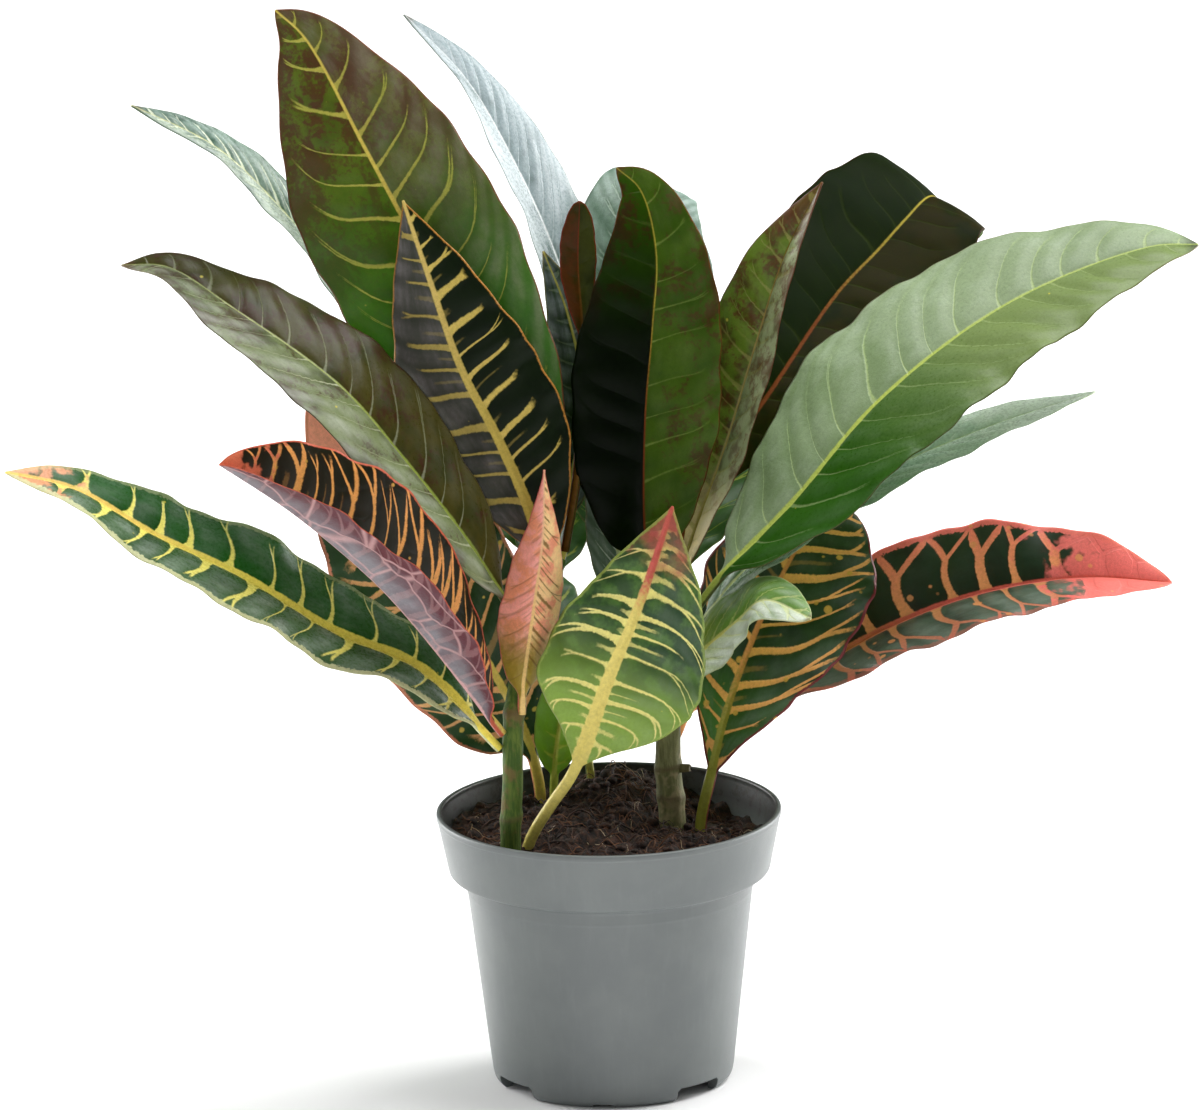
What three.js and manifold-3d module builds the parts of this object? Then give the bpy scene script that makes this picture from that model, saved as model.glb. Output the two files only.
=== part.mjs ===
// A potted croton: a bushy house plant with large mottled leaves on two woody stems,
// standing in a tapered plastic grow pot filled with peat.
// Millimetres, +Z up, -Y is the front. The origin is on the ground, under the middle of the
// box that the whole plant fills. The shapes below are laid out from the pot's own axis.
import * as THREE from 'three';
import { mergeVertices } from 'three/addons/utils/BufferGeometryUtils.js';
import Module from 'manifold-3d';

const DEG = Math.PI / 180;
const GAP = 0.3; // air between pieces that touch
const SPREAD_MIDDLE = { x: 1.5, y: 29.8 }; // of the whole plant, seen from the pot's axis

// Pot: a thin wall, a deep flared rim band and a foot ring with drain notches.
const POT_HEIGHT = 96.5;
const RIM_RADIUS = 60;
const BAND_FOOT_RADIUS = 55.7;
const BAND_FOOT_HEIGHT = 76.5;
const SHOULDER_RADIUS = 50;
const SHOULDER_HEIGHT = 73;
const WALL_FOOT_RADIUS = 42;
const WALL_FOOT_HEIGHT = 5;
const FOOT_RADIUS = 39.5;
const FOOT_RING_WIDTH = 4;
const WALL = 1.4;
const FLOOR_UNDERSIDE = 3.5;
const FLOOR_TOP = 5.5;
const POT_SIDES = 60;
const FEET_TURN = -95.5; // the middle of the front foot, in degrees round from +X
const NOTCH_SPREAD = 51.5;
const NOTCH_WIDTH = 20;
const NOTCH_HEIGHT = 5;
const SLOT_WIDTH = 8;
const SLOT_HEIGHT = 1.4;
const DRAIN_RADIUS = 4;
const DRAIN_CIRCLE = 33;
const DRAIN_COUNT = 8;
const DRAIN_SIDES = 12;
const UNDERCUT = 1.7; // the step below the rim band

// Soil: fills the pot to just under the rim, with a mound at the back.
const SOIL_LEVEL = 87;
const SOIL_SIDES = 40;
const SOIL_RINGS = 7;
const SOIL_MOUNDS = [
  // x, y, height, spread
  [4, 38, 11, 17],
  [-34, 6, 4, 16],
  [-8, -12, 3, 12],
  [34, -18, 2, 13],
  [38, 26, -5, 14],
];
const SOIL_LUMP = 1.1;
const SOIL_WAVES = { x: 0.33, y: 0.29, fineX: 0.71, fineY: 0.53, fine: 0.7 };
const SOIL_CLEAR = 0.4; // air between the soil and the wall

// Stems: centre line points and radii from the soil up.
const STEM_SIDES = 10;
const STEM_RINGS = 22;
const STEMS = {
  a: {
    line: [
      [-30, -24, 62], [-34, -28, 87], [-33, -27, 115],
      [-32, -24, 139], [-27, -16, 159], [-15, -4, 188],
    ],
    radii: [3.8, 3.7, 3.6, 3.5, 3.3, 2],
    knots: [102, 139, 162],
  },
  b: {
    line: [[22, 8, 62], [22, 8, 90], [21, 8, 108], [21, 7, 133], [19, 7, 155], [17, 8, 178]],
    radii: [4.7, 4.7, 4.5, 4.2, 3.8, 2.4],
    knots: [98, 109, 134],
  },
};
const KNOT_SWELL = 0.5;
const KNOT_SPREAD = 2.5;
const STUB = { stem: 'b', height: 109, turn: -20, length: 3.4, radius: 1.5, end: 1.35, sides: 7 };

// Leaves: each has a rounded stalk that widens into a blade.
const PETIOLE_RADIUS = 1.5;
const STALK_LEVELLING = 0.3; // how far a stalk's start leans up or down with its leaf
const BLADE_THICKNESS = 1;
const RIB_DEPTH = 0.9;
const BLADE_STATIONS = 12;
const STALK_STEP = 9; // between the rings of a stalk
const HOLE_STEP = 8; // between the rings of the hole in the soil
const TIP_HALF_WIDTH = 0.4;
const ACROSS = [-1, -0.5, 0, 0.5, 1];

// Every leaf: where its stalk starts (a stem and a height on it, or the soil), the stalk's
// length and, where it is stouter than the rest, its radius, the points that its midrib
// passes through, the widths of its left and right halves as seen on the upper side with the
// tip up, how it tapers at the base and at the tip (less is blunter) and where it is widest,
// the way that its upper side looks at the base and at the tip, the fold and the curl of its
// halves in degrees, and the waves of its edge: height, number and phase.
const LEAVES = {
  leaf_tall_left: {
    stem: 'a', height: 184, stalk: 14,
    rib: [[-30, 8, 233], [-59, 20, 288], [-79, 28, 326], [-100, 38, 365], [-110, 42, 374]],
    half: [35, 33], shape: [0.8, 0.8, 0.55], face: [[-0.1, -1, 0.35], [0, -1, 0.3]],
    fold: [8, 6], curl: [-8, -4], wave: [1, 5, 0],
  },
  leaf_edge_left: {
    stem: 'a', height: 174, stalk: 14,
    rib: [
      [-36, 18, 206], [-59, 34, 236], [-88, 38, 275],
      [-108, 34, 303], [-131, 26, 329], [-160, 14, 348],
    ],
    half: [17, 17], shape: [0.8, 0.8], face: [[0.7, -0.3, 0.75], [0.7, -0.3, 0.75]],
    fold: [12, 12], curl: [-4, -4], wave: [1, 5, 0],
  },
  leaf_dark_veined: {
    stem: 'a', height: 178, stalk: 8,
    rib: [[-24, -9, 202], [-35, -5, 230], [-48, -1, 256], [-58, 3, 286], [-67, 8, 314]],
    half: [25, 26], shape: [0.75, 1], face: [[0, -1, 0.3], [0, -1, 0.3]],
    fold: [-16, 4], curl: [-6, -4], wave: [0.8, 6, 0.4],
  },
  leaf_olive_left: {
    stem: 'a', height: 164, stalk: 12,
    rib: [
      [-46, -24, 199], [-69, -20, 230], [-90, -14, 254],
      [-127, 4, 278], [-149, 18, 289], [-165, 26, 288],
    ],
    half: [25, 25], shape: [0.7, 0.8], face: [[0.4, -0.5, 0.75], [0.45, -0.48, 0.75]],
    fold: [11, 11], curl: [-4, -4], wave: [0.8, 5, 0],
  },
  leaf_silver_back: {
    stem: 'a', height: 166, stalk: 46,
    rib: [
      [-12, 16, 196], [-8, 36, 222], [-7, 46, 253], [-16, 55, 284],
      [-29, 64, 313], [-45, 74, 340], [-66, 84, 361],
    ],
    half: [20, 23], shape: [0.7, 0.8], face: [[0.74, -0.4, 0.6], [0.74, -0.3, 0.6]],
    fold: [16, 16], curl: [-4, -4], wave: [0.8, 4, 0],
  },
  leaf_maroon_young: {
    stem: 'a', height: 189, stalk: 74,
    rib: [[-9, 2, 215], [-7, 11, 240], [-6, 15, 266], [-7, 20, 287], [-6, 22, 309]],
    half: [6.5, 6.5], shape: [0.7, 0.45], face: [[0, -1, 0.2], [0, -1, 0.2]],
    fold: [10, 10], curl: [0, 0], wave: [0.3, 3, 0],
  },
  leaf_blue_back: {
    stem: 'b', height: 174, stalk: 13,
    rib: [[18, 28, 202], [20, 41, 232], [18, 51, 262], [16, 63, 289], [20, 77, 299], [27, 96, 290]],
    half: [25, 23], shape: [0.8, 0.6], face: [[0, -1, 0.4], [0.1, -0.6, 1]],
    fold: [6, 6], curl: [-10, -8], wave: [0.8, 4, 0],
  },
  leaf_centre: {
    stem: 'b', height: 172, stalk: 8,
    rib: [[14, 2, 196], [15, 6, 236], [18, 11, 265], [20, 17, 292], [15, 24, 312], [7, 28, 319]],
    half: [26, 26], shape: [0.55, 0.75], face: [[0, -1, 0.25], [0, -1, 0.35]],
    fold: [8, 4], curl: [-6, -4], wave: [0.8, 5, 0],
  },
  leaf_folded_right: {
    stem: 'b', height: 158, stalk: 14,
    rib: [[29, 15, 183], [44, 21, 223], [54, 23, 255], [65, 23, 288], [78, 22, 314]],
    half: [21, 21], shape: [0.8, 0.9], face: [[-0.6, -1, 0.4], [-0.6, -1, 0.4]],
    fold: [10, 40], curl: [-6, 0], wave: [0.8, 4, 0],
  },
  leaf_dark_arched: {
    stem: 'b', height: 168, stalk: 34,
    rib: [
      [32, 22, 200], [58, 41, 233], [83, 75, 260], [98, 93, 271],
      [107, 104, 278], [116, 118, 283], [122, 137, 274], [125, 152, 258],
    ],
    half: [33, 27], shape: [0.8, 0.55, 0.62], face: [[0.2, -1, 0.5], [0.3, -0.3, 1]],
    fold: [6, 6], curl: [-8, -8], wave: [1, 5, 0],
  },
  leaf_broad_right: {
    stem: 'b', height: 152, stalk: 34,
    rib: [
      [40, -8, 181], [66, 0, 206], [97, 18, 237],
      [143, 44, 264], [192, 62, 278], [209, 68, 277],
    ],
    half: [36, 34], shape: [0.7, 0.75], face: [[-0.4, -0.6, 0.73], [-0.4, -0.5, 0.73]],
    fold: [7, 5], curl: [-4, -4], wave: [1.2, 6, 0],
  },
  leaf_under_right: {
    stem: 'b', height: 144, stalk: 16,
    rib: [[45, 12, 174], [86, 20, 204], [131, 36, 220], [172, 52, 229]],
    half: [22, 22], shape: [0.7, 0.8], face: [[-0.45, -0.2, 0.87], [-0.45, -0.2, 0.87]],
    fold: [8, 8], curl: [-4, -4], wave: [0.8, 5, 0],
  },
  leaf_coral_right: {
    stem: 'b', height: 118, stalk: 30,
    rib: [
      [30, 20, 127], [54, 30, 129], [76, 31, 139], [101, 35, 151],
      [130, 40, 160], [166, 48, 163], [198, 54, 159],
    ],
    half: [27, 27], shape: [0.6, 0.7], face: [[-0.1, -0.7, 0.7], [-0.1, -0.7, 0.7]],
    fold: [16, 38], curl: [-4, -4], wave: [1.6, 5, 0],
  },
  leaf_orange_right: {
    stem: 'soil', stalk: 26, stout: 2,
    rib: [
      [32, 4, 78], [32, 4, 90], [36, 6, 107], [41, 9, 126],
      [48, 13, 145], [59, 21, 168], [70, 32, 184], [82, 44, 194],
    ],
    half: [26, 34], shape: [1.2, 0.45, 0.66], face: [[-0.3, -1, 0.3], [-0.3, -1, 0.5]],
    fold: [4, 4], curl: [-6, -6], wave: [1.4, 5, 0],
  },
  leaf_short_right: {
    stem: 'b', height: 138, stalk: 5,
    rib: [[31, -7, 152], [46, -17, 168], [55, -24, 177], [71, -34, 173]],
    half: [16, 15], shape: [0.35, 0.6], face: [[0, -0.6, 1], [0, -0.6, 1]],
    fold: [4, 4], curl: [-6, -4], wave: [0.6, 3, 0],
  },
  leaf_front: {
    stem: 'soil', stalk: 44, stout: 2,
    rib: [
      [-31, -17, 78], [-27, -19, 92], [-20, -24, 105], [-12, -28, 118],
      [1, -33, 153], [12, -36, 180], [24, -37, 215],
    ],
    half: [25, 32], shape: [1.8, 1, 0.37], face: [[0, -1, 0.3], [-0.1, -1, 0.3]],
    fold: [6, 4], curl: [-6, -6], wave: [2, 4, 0],
  },
  leaf_pink_curled: {
    stem: 'a', height: 136, stalk: 6,
    rib: [[-29, -27, 147], [-27, -27, 161], [-24, -29, 181], [-21, -30, 203], [-20, -30, 227]],
    half: [12.5, 14], shape: [0.6, 1.2], face: [[0.25, -1, 0.1], [0.15, -1, 0.1]],
    fold: [-20, -20], curl: [-30, -30], wave: [0.6, 3, 0],
  },
  leaf_folded_left: {
    stem: 'a', height: 131, stalk: 5,
    rib: [[-50, -38, 154], [-76, -59, 193], [-104, -73, 223], [-131, -85, 246]],
    half: [29, 32], shape: [0.8, 0.6], face: [[0.6, -0.3, 0.75], [0.6, -0.3, 0.75]],
    fold: [54, 50], curl: [-4, -4], wave: [1, 4, 0.2],
  },
  leaf_low_left: {
    stem: 'a', height: 125, stalk: 9,
    rib: [
      [-65, -27, 156], [-93, -26, 169], [-124, -26, 189],
      [-155, -25, 205], [-182, -22, 221], [-206, -20, 227],
    ],
    half: [25, 25], shape: [0.6, 0.75], face: [[0.36, -0.36, 0.86], [0.36, -0.36, 0.86]],
    fold: [11, 11], curl: [-6, -6], wave: [1.2, 5, 0.1],
  },
  leaf_pink_tip_left: {
    stem: 'soil', stalk: 25, stout: 2,
    rib: [
      [-24, 34, 80], [-24, 34, 95], [-28, 32, 113], [-37, 22, 136],
      [-55, 17, 171], [-78, 8, 214], [-98, 5, 254],
    ],
    half: [35, 28], shape: [0.6, 0.7], face: [[0.2, -1, 0.6], [0.2, -1, 0.6]],
    fold: [2, 4], curl: [-8, -4], wave: [1, 6, 0],
  },
  leaf_inner_green: {
    stem: 'soil', stalk: 20,
    rib: [[-19, 28, 81], [-19, 28, 95], [-18, 26, 110], [-15, 24, 128], [-11, 22, 150]],
    half: [9, 9], shape: [0.6, 0.8], face: [[0, -1, 0.3], [0, -1, 0.3]],
    fold: [6, 6], curl: [0, 0], wave: [0.4, 3, 0],
  },
  leaf_inner_striped: {
    stem: 'b', height: 148, stalk: 10,
    rib: [[7, 12, 172], [4, 12, 197], [1, 12, 215], [-2, 12, 230]],
    half: [10.5, 13], shape: [0.7, 0.8], face: [[0, -1, 0.3], [0, -1, 0.3]],
    fold: [6, 6], curl: [0, 0], wave: [0.4, 3, 0.3],
  },
  leaf_inner_glossy: {
    stem: 'a', height: 178, stalk: 24,
    rib: [[-12, 6, 196], [-10, 16, 214], [-6, 21, 238], [-11, 24, 268], [-19, 27, 290]],
    half: [11, 11], shape: [0.7, 0.8], face: [[0.2, -1, 0.3], [0.2, -1, 0.3]],
    fold: [8, 8], curl: [0, 0], wave: [0.5, 3, 0],
  },
  leaf_rear_left_high: {
    stem: 'a', height: 152, stalk: 46,
    rib: [[-19, 6, 166], [-16, 30, 180], [-30, 56, 194], [-54, 82, 198], [-74, 102, 188]],
    half: [23, 23], shape: [0.7, 0.75], face: [[0, -0.4, 1], [0, 0.2, 1]],
    fold: [8, 8], curl: [-6, -6], wave: [1, 5, 0.1],
  },
  leaf_rear_left_middle: {
    stem: 'soil', stalk: 30,
    rib: [
      [-6, 42, 78], [-6, 42, 95], [-10, 47, 118],
      [-24, 64, 146], [-40, 88, 160], [-56, 110, 150],
    ],
    half: [22, 22], shape: [0.7, 0.75], face: [[0, -0.2, 1], [0, 0.3, 1]],
    fold: [8, 8], curl: [-6, -6], wave: [1, 5, 0],
  },
  leaf_rear_right_low: {
    stem: 'b', height: 128, stalk: 18,
    rib: [[10, 28, 142], [16, 58, 152], [22, 88, 150], [26, 112, 136]],
    half: [22, 22], shape: [0.7, 0.75], face: [[0, -0.2, 1], [0.2, 0.3, 1]],
    fold: [8, 8], curl: [-6, -6], wave: [1, 5, 0],
  },
  leaf_rear_middle: {
    stem: 'b', height: 158, stalk: 24,
    rib: [[8, 32, 186], [2, 62, 210], [-2, 92, 222], [-2, 118, 214]],
    half: [23, 22], shape: [0.7, 0.75], face: [[0, -0.4, 1], [0, 0.3, 1]],
    fold: [10, 10], curl: [-6, -6], wave: [0.8, 5, 0.15],
  },
  leaf_rear_right_middle: {
    stem: 'b', height: 118, stalk: 24,
    rib: [[20, 28, 132], [40, 52, 140], [68, 76, 138], [92, 94, 122]],
    half: [20, 20], shape: [0.7, 0.75], face: [[0, -0.2, 1], [0.2, 0.2, 1]],
    fold: [8, 8], curl: [-6, -6], wave: [1, 5, 0],
  },
  leaf_rear_right_high: {
    stem: 'b', height: 152, stalk: 22,
    rib: [[18, 34, 170], [32, 66, 192], [50, 94, 204], [68, 116, 198]],
    half: [23, 23], shape: [0.7, 0.75], face: [[0, -0.4, 1], [0.1, 0.2, 1]],
    fold: [8, 8], curl: [-6, -6], wave: [1, 5, 0],
  },
};

// Geometry helpers.

const vec = ([x, y, z]) => new THREE.Vector3(x, y, z);
const mix = THREE.MathUtils.lerp;

// A value that runs evenly through a list, at t from 0 to 1.
function along(list, t) {
  const place = THREE.MathUtils.clamp(t, 0, 1) * (list.length - 1);
  const i = Math.min(Math.floor(place), list.length - 2);
  return mix(list[i], list[i + 1], place - i);
}

// A closed body through rings of equal length. A ring runs left to right over the top and
// back underneath, and the two sides are split into triangles alike, so they never cross.
function loft(rings) {
  const count = rings[0].length;
  const half = count / 2;
  const at = (ring, i) => ring * count + (i % count);
  const last = rings.length - 1;
  const index = [];
  for (let i = 0; i + 1 < half; i++) {
    const [p, q, qUnder, pUnder] = [i, i + 1, count - 2 - i, count - 1 - i];
    index.push(p, pUnder, qUnder, p, qUnder, q);
    const [a, b, bUnder, aUnder] = [at(last, p), at(last, q), at(last, qUnder), at(last, pUnder)];
    index.push(a, bUnder, aUnder, a, b, bUnder);
  }
  for (let r = 0; r < last; r++) {
    for (let i = 0; i < count; i++) {
      const [p, q, pNext, qNext] = [at(r, i), at(r, i + 1), at(r + 1, i), at(r + 1, i + 1)];
      if (i < half) index.push(p, q, qNext, p, qNext, pNext);
      else index.push(p, q, pNext, q, qNext, pNext);
    }
  }
  const geometry = new THREE.BufferGeometry();
  const positions = rings.flat().flatMap((p) => [p.x, p.y, p.z]);
  geometry.setAttribute('position', new THREE.Float32BufferAttribute(positions, 3));
  geometry.setIndex(index);
  geometry.computeVertexNormals();
  return geometry;
}

// A round ring with its points clear of the left and right ends, as the loft expects.
function roundRing(centre, side, up, radius, count) {
  return Array.from({ length: count }, (_, i) => {
    const angle = Math.PI - ((i + 0.5) * 2 * Math.PI) / count;
    return centre.clone()
      .addScaledVector(side, -radius * Math.cos(angle))
      .addScaledVector(up, radius * Math.sin(angle));
  });
}

const wasm = await Module();
wasm.setup();

function toSolid(geometry) {
  const plain = geometry.clone();
  plain.deleteAttribute('normal');
  plain.deleteAttribute('uv');
  const merged = mergeVertices(plain, 1e-4);
  return new wasm.Manifold(new wasm.Mesh({
    numProp: 3,
    vertProperties: new Float32Array(merged.attributes.position.array),
    triVerts: new Uint32Array(merged.index.array),
  }));
}

function toGeometry(solid) {
  const mesh = solid.getMesh();
  const geometry = new THREE.BufferGeometry();
  geometry.setAttribute('position', new THREE.BufferAttribute(mesh.vertProperties, 3));
  geometry.setIndex(new THREE.BufferAttribute(mesh.triVerts, 1));
  geometry.computeVertexNormals();
  return geometry;
}

const finish = (color, roughness) => new THREE.MeshStandardMaterial({ color, roughness, metalness: 0 });

function piece(name, geometry, material) {
  const mesh = new THREE.Mesh(geometry, material);
  mesh.name = name;
  return mesh;
}

// Pot.

// The inner face of the wall: its radius at a height.
function innerRadius(height) {
  if (height > BAND_FOOT_HEIGHT) {
    const part = (height - BAND_FOOT_HEIGHT) / (POT_HEIGHT - BAND_FOOT_HEIGHT);
    return mix(BAND_FOOT_RADIUS, RIM_RADIUS, part) - WALL;
  }
  if (height > SHOULDER_HEIGHT) {
    const part = (height - SHOULDER_HEIGHT) / (BAND_FOOT_HEIGHT - SHOULDER_HEIGHT);
    return mix(SHOULDER_RADIUS, BAND_FOOT_RADIUS, part) - WALL;
  }
  const part = (height - WALL_FOOT_HEIGHT) / (SHOULDER_HEIGHT - WALL_FOOT_HEIGHT);
  return mix(WALL_FOOT_RADIUS, SHOULDER_RADIUS, part) - WALL;
}

function makePot() {
  const profile = [
    [0, FLOOR_UNDERSIDE],
    [FOOT_RADIUS - FOOT_RING_WIDTH, FLOOR_UNDERSIDE],
    [FOOT_RADIUS - FOOT_RING_WIDTH, 0],
    [FOOT_RADIUS, 0],
    [mix(FOOT_RADIUS, WALL_FOOT_RADIUS, 0.75), WALL_FOOT_HEIGHT * 0.35],
    [WALL_FOOT_RADIUS, WALL_FOOT_HEIGHT],
    [SHOULDER_RADIUS, SHOULDER_HEIGHT],
    [SHOULDER_RADIUS + UNDERCUT, SHOULDER_HEIGHT + UNDERCUT],
    [BAND_FOOT_RADIUS, BAND_FOOT_HEIGHT - UNDERCUT],
    [RIM_RADIUS, POT_HEIGHT - WALL / 2],
    [RIM_RADIUS - WALL / 2, POT_HEIGHT],
    [RIM_RADIUS - WALL * 1.4, POT_HEIGHT - WALL / 2],
    [innerRadius(BAND_FOOT_HEIGHT), BAND_FOOT_HEIGHT],
    [innerRadius(SHOULDER_HEIGHT), SHOULDER_HEIGHT],
    [innerRadius(FLOOR_TOP), FLOOR_TOP],
    [0, FLOOR_TOP],
  ].map(([radius, height]) => new THREE.Vector2(radius, height));
  const shell = new THREE.LatheGeometry(profile, POT_SIDES);
  shell.rotateX(Math.PI / 2);
  let solid = toSolid(shell);
  const cut = (geometry) => {
    solid = solid.subtract(toSolid(geometry));
  };
  for (const side of [0, 180]) {
    const middle = FEET_TURN + side;
    cut(footCutter(middle - NOTCH_SPREAD, NOTCH_WIDTH, NOTCH_HEIGHT));
    cut(footCutter(middle + NOTCH_SPREAD, NOTCH_WIDTH, NOTCH_HEIGHT));
    cut(footCutter(middle, SLOT_WIDTH, SLOT_HEIGHT));
  }
  for (let i = 0; i < DRAIN_COUNT; i++) {
    const drain = new THREE.CylinderGeometry(DRAIN_RADIUS, DRAIN_RADIUS, FLOOR_TOP * 3, DRAIN_SIDES);
    drain.rotateX(Math.PI / 2);
    const turn = (FEET_TURN + ((i + 0.5) * 360) / DRAIN_COUNT) * DEG;
    drain.translate(DRAIN_CIRCLE * Math.cos(turn), DRAIN_CIRCLE * Math.sin(turn), 0);
    cut(drain);
  }
  return toGeometry(solid);
}

// A block across the foot ring: its width along the ring, its height up from the ground.
function footCutter(turn, width, height) {
  const block = new THREE.BoxGeometry(FOOT_RING_WIDTH * 5, width, height * 2);
  block.translate(FOOT_RADIUS, 0, 0);
  block.rotateZ(turn * DEG);
  return block;
}

// Soil.

function soilHeight(x, y) {
  let height = SOIL_LEVEL;
  for (const [mx, my, rise, spread] of SOIL_MOUNDS) {
    height += rise * Math.exp(-((x - mx) ** 2 + (y - my) ** 2) / (2 * spread * spread));
  }
  const waves = SOIL_WAVES;
  height += SOIL_LUMP * Math.sin(x * waves.x + 1) * Math.sin(y * waves.y + 2);
  return height + SOIL_LUMP * waves.fine * Math.sin(x * waves.fineX - y * waves.fineY);
}

// Round the pot's axis, at a radius and a height.
function roundPot(angle, radius, height) {
  return new THREE.Vector3(-radius * Math.cos(angle), radius * Math.sin(angle), height);
}

function makeSoil(stands) {
  const turn = (2 * Math.PI) / SOIL_SIDES;
  const angles = Array.from({ length: SOIL_SIDES }, (_, i) => Math.PI - (i + 0.5) * turn);
  const atWall = (angle, height) => roundPot(angle, innerRadius(height) - SOIL_CLEAR, height);
  const edge = innerRadius(SOIL_LEVEL) - SOIL_CLEAR;
  // The rings go up the wall, then over the top to the middle.
  const rings = [FLOOR_TOP + SOIL_CLEAR, SHOULDER_HEIGHT, BAND_FOOT_HEIGHT].map((height) => (
    angles.map((angle) => atWall(angle, height))
  ));
  for (let i = SOIL_RINGS; i >= 0; i--) {
    const radius = Math.max((edge * i) / SOIL_RINGS, SOIL_CLEAR * 2);
    rings.push(angles.map((angle) => {
      const point = roundPot(angle, radius, 0);
      point.z = soilHeight(point.x, point.y);
      return i < SOIL_RINGS ? point : atWall(angle, point.z);
    }));
  }
  let solid = toSolid(loft(rings));
  for (const stand of stands) solid = solid.subtract(toSolid(stand));
  return toGeometry(solid);
}

// Stems.

function stemFrame(stem, height) {
  const { line, radii } = STEMS[stem];
  const curve = new THREE.CatmullRomCurve3(line.map(vec), false, 'centripetal');
  let [low, high] = [0, 1];
  for (let i = 0; i < 30; i++) {
    const middle = (low + high) / 2;
    if (curve.getPointAt(middle).z < height) low = middle;
    else high = middle;
  }
  return { centre: curve.getPointAt(low), radius: along(radii, low) };
}

function stemGeometry({ line, radii, knots }, grow) {
  const curve = new THREE.CatmullRomCurve3(line.map(vec), false, 'centripetal');
  const rings = [];
  for (let i = 0; i <= STEM_RINGS; i++) {
    const t = i / STEM_RINGS;
    const centre = curve.getPointAt(t);
    const way = curve.getTangentAt(t);
    const side = new THREE.Vector3(0, -1, 0).cross(way).normalize();
    const up = way.clone().cross(side);
    const bump = (knot) => KNOT_SWELL * Math.exp(-(((centre.z - knot) / KNOT_SPREAD) ** 2));
    const swell = knots.reduce((sum, knot) => sum + bump(knot), 0);
    rings.push(roundRing(centre, side, up, along(radii, t) + swell + grow, STEM_SIDES));
  }
  return loft(rings);
}

function makeStem(name) {
  let solid = toSolid(stemGeometry(STEMS[name], 0));
  if (STUB.stem === name) {
    const { centre, radius } = stemFrame(name, STUB.height);
    const length = STUB.length + radius;
    const stub = new THREE.CylinderGeometry(STUB.end, STUB.radius, length, STUB.sides);
    stub.rotateZ(-Math.PI / 2);
    stub.translate(length / 2, 0, 0);
    stub.rotateZ(STUB.turn * DEG);
    stub.translate(centre.x, centre.y, centre.z);
    solid = solid.add(toSolid(stub));
  }
  return toGeometry(solid);
}

// Leaves.

const stalkRadius = (leaf) => leaf.stout ?? PETIOLE_RADIUS;

function ribCurve(leaf) {
  const points = leaf.rib.map(vec);
  if (leaf.stem !== 'soil') {
    const { centre, radius } = stemFrame(leaf.stem, leaf.height);
    const out = points[0].clone().sub(centre);
    out.z *= STALK_LEVELLING;
    out.normalize();
    points.unshift(centre.clone().addScaledVector(out, radius + GAP + stalkRadius(leaf) * 0.5));
  }
  return new THREE.CatmullRomCurve3(points, false, 'centripetal');
}

// The blade's half width, as a part of its widest: it rises from the stalk and falls to the tip.
function taper([base, tip, belly = base / (base + tip)], t) {
  const quarter = Math.PI / 2;
  if (t < belly) return Math.sin((quarter * t) / belly) ** base;
  return Math.max(Math.cos((quarter * (t - belly)) / (1 - belly)), 0) ** tip;
}

function bladeRing(leaf, centre, side, up, t) {
  const full = taper(leaf.shape, t);
  const least = t < 0.5 ? stalkRadius(leaf) : TIP_HALF_WIDTH;
  const [waveHeight, waves, phase] = leaf.wave;
  const over = [];
  const under = [];
  for (const s of ACROSS) {
    const hand = s < 0 ? 0 : 1;
    const bend = (leaf.fold[hand] + (leaf.curl[hand] * Math.abs(s)) / 2) * DEG * Math.sign(Math.abs(s));
    const reach = Math.abs(s) * Math.max(full * leaf.half[hand], least);
    const ripple = waveHeight * full * s * s * Math.sin(2 * Math.PI * (waves * t + phase + hand / 2));
    const outward = side.clone().multiplyScalar(s < 0 ? 1 : -1);
    const spot = centre.clone()
      .addScaledVector(outward, reach * Math.cos(bend))
      .addScaledVector(up, reach * Math.sin(bend) + ripple);
    const normal = up.clone().multiplyScalar(Math.cos(bend)).addScaledVector(outward, -Math.sin(bend));
    const keel = s === 0 ? RIB_DEPTH * (1 - t) : 0;
    over.push(spot.clone().addScaledVector(normal, BLADE_THICKNESS / 2));
    under.push(spot.clone().addScaledVector(normal, -BLADE_THICKNESS / 2 - keel));
  }
  return [...over, ...under.reverse()];
}

function makeLeaf(leaf) {
  const curve = ribCurve(leaf);
  const start = leaf.stalk / curve.getLength();
  const [baseFace, tipFace] = leaf.face.map(vec);
  const frame = (at) => {
    const centre = curve.getPointAt(at);
    const way = curve.getTangentAt(at);
    const t = Math.max((at - start) / (1 - start), 0);
    const face = baseFace.clone().lerp(tipFace, t);
    const up = face.addScaledVector(way, -face.dot(way)).normalize();
    const side = up.clone().cross(way);
    return { centre, side, up, t };
  };
  const rings = [];
  const stalkRings = Math.max(2, Math.round(leaf.stalk / STALK_STEP));
  for (let i = 0; i < stalkRings; i++) {
    const { centre, side, up } = frame((start * i) / stalkRings);
    rings.push(roundRing(centre, side.negate(), up, stalkRadius(leaf), 2 * ACROSS.length));
  }
  for (let i = 0; i <= BLADE_STATIONS; i++) {
    const { centre, side, up, t } = frame(mix(start, 1, i / BLADE_STATIONS));
    rings.push(bladeRing(leaf, centre, side, up, t));
  }
  return loft(rings);
}

// The hole that a stalk stands in: its own first stretch, a little fatter and deeper.
function stalkHole(leaf) {
  const curve = ribCurve(leaf);
  const step = HOLE_STEP / curve.getLength();
  const rings = [-GAP, 0, 0, 0].map((sink, i) => {
    const way = curve.getTangentAt(i * step);
    const centre = curve.getPointAt(i * step).addScaledVector(way, sink);
    const side = new THREE.Vector3(0, -1, 0).cross(way).normalize();
    return roundRing(centre, side, way.clone().cross(side), stalkRadius(leaf) + GAP, STEM_SIDES);
  });
  return loft(rings);
}

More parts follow.
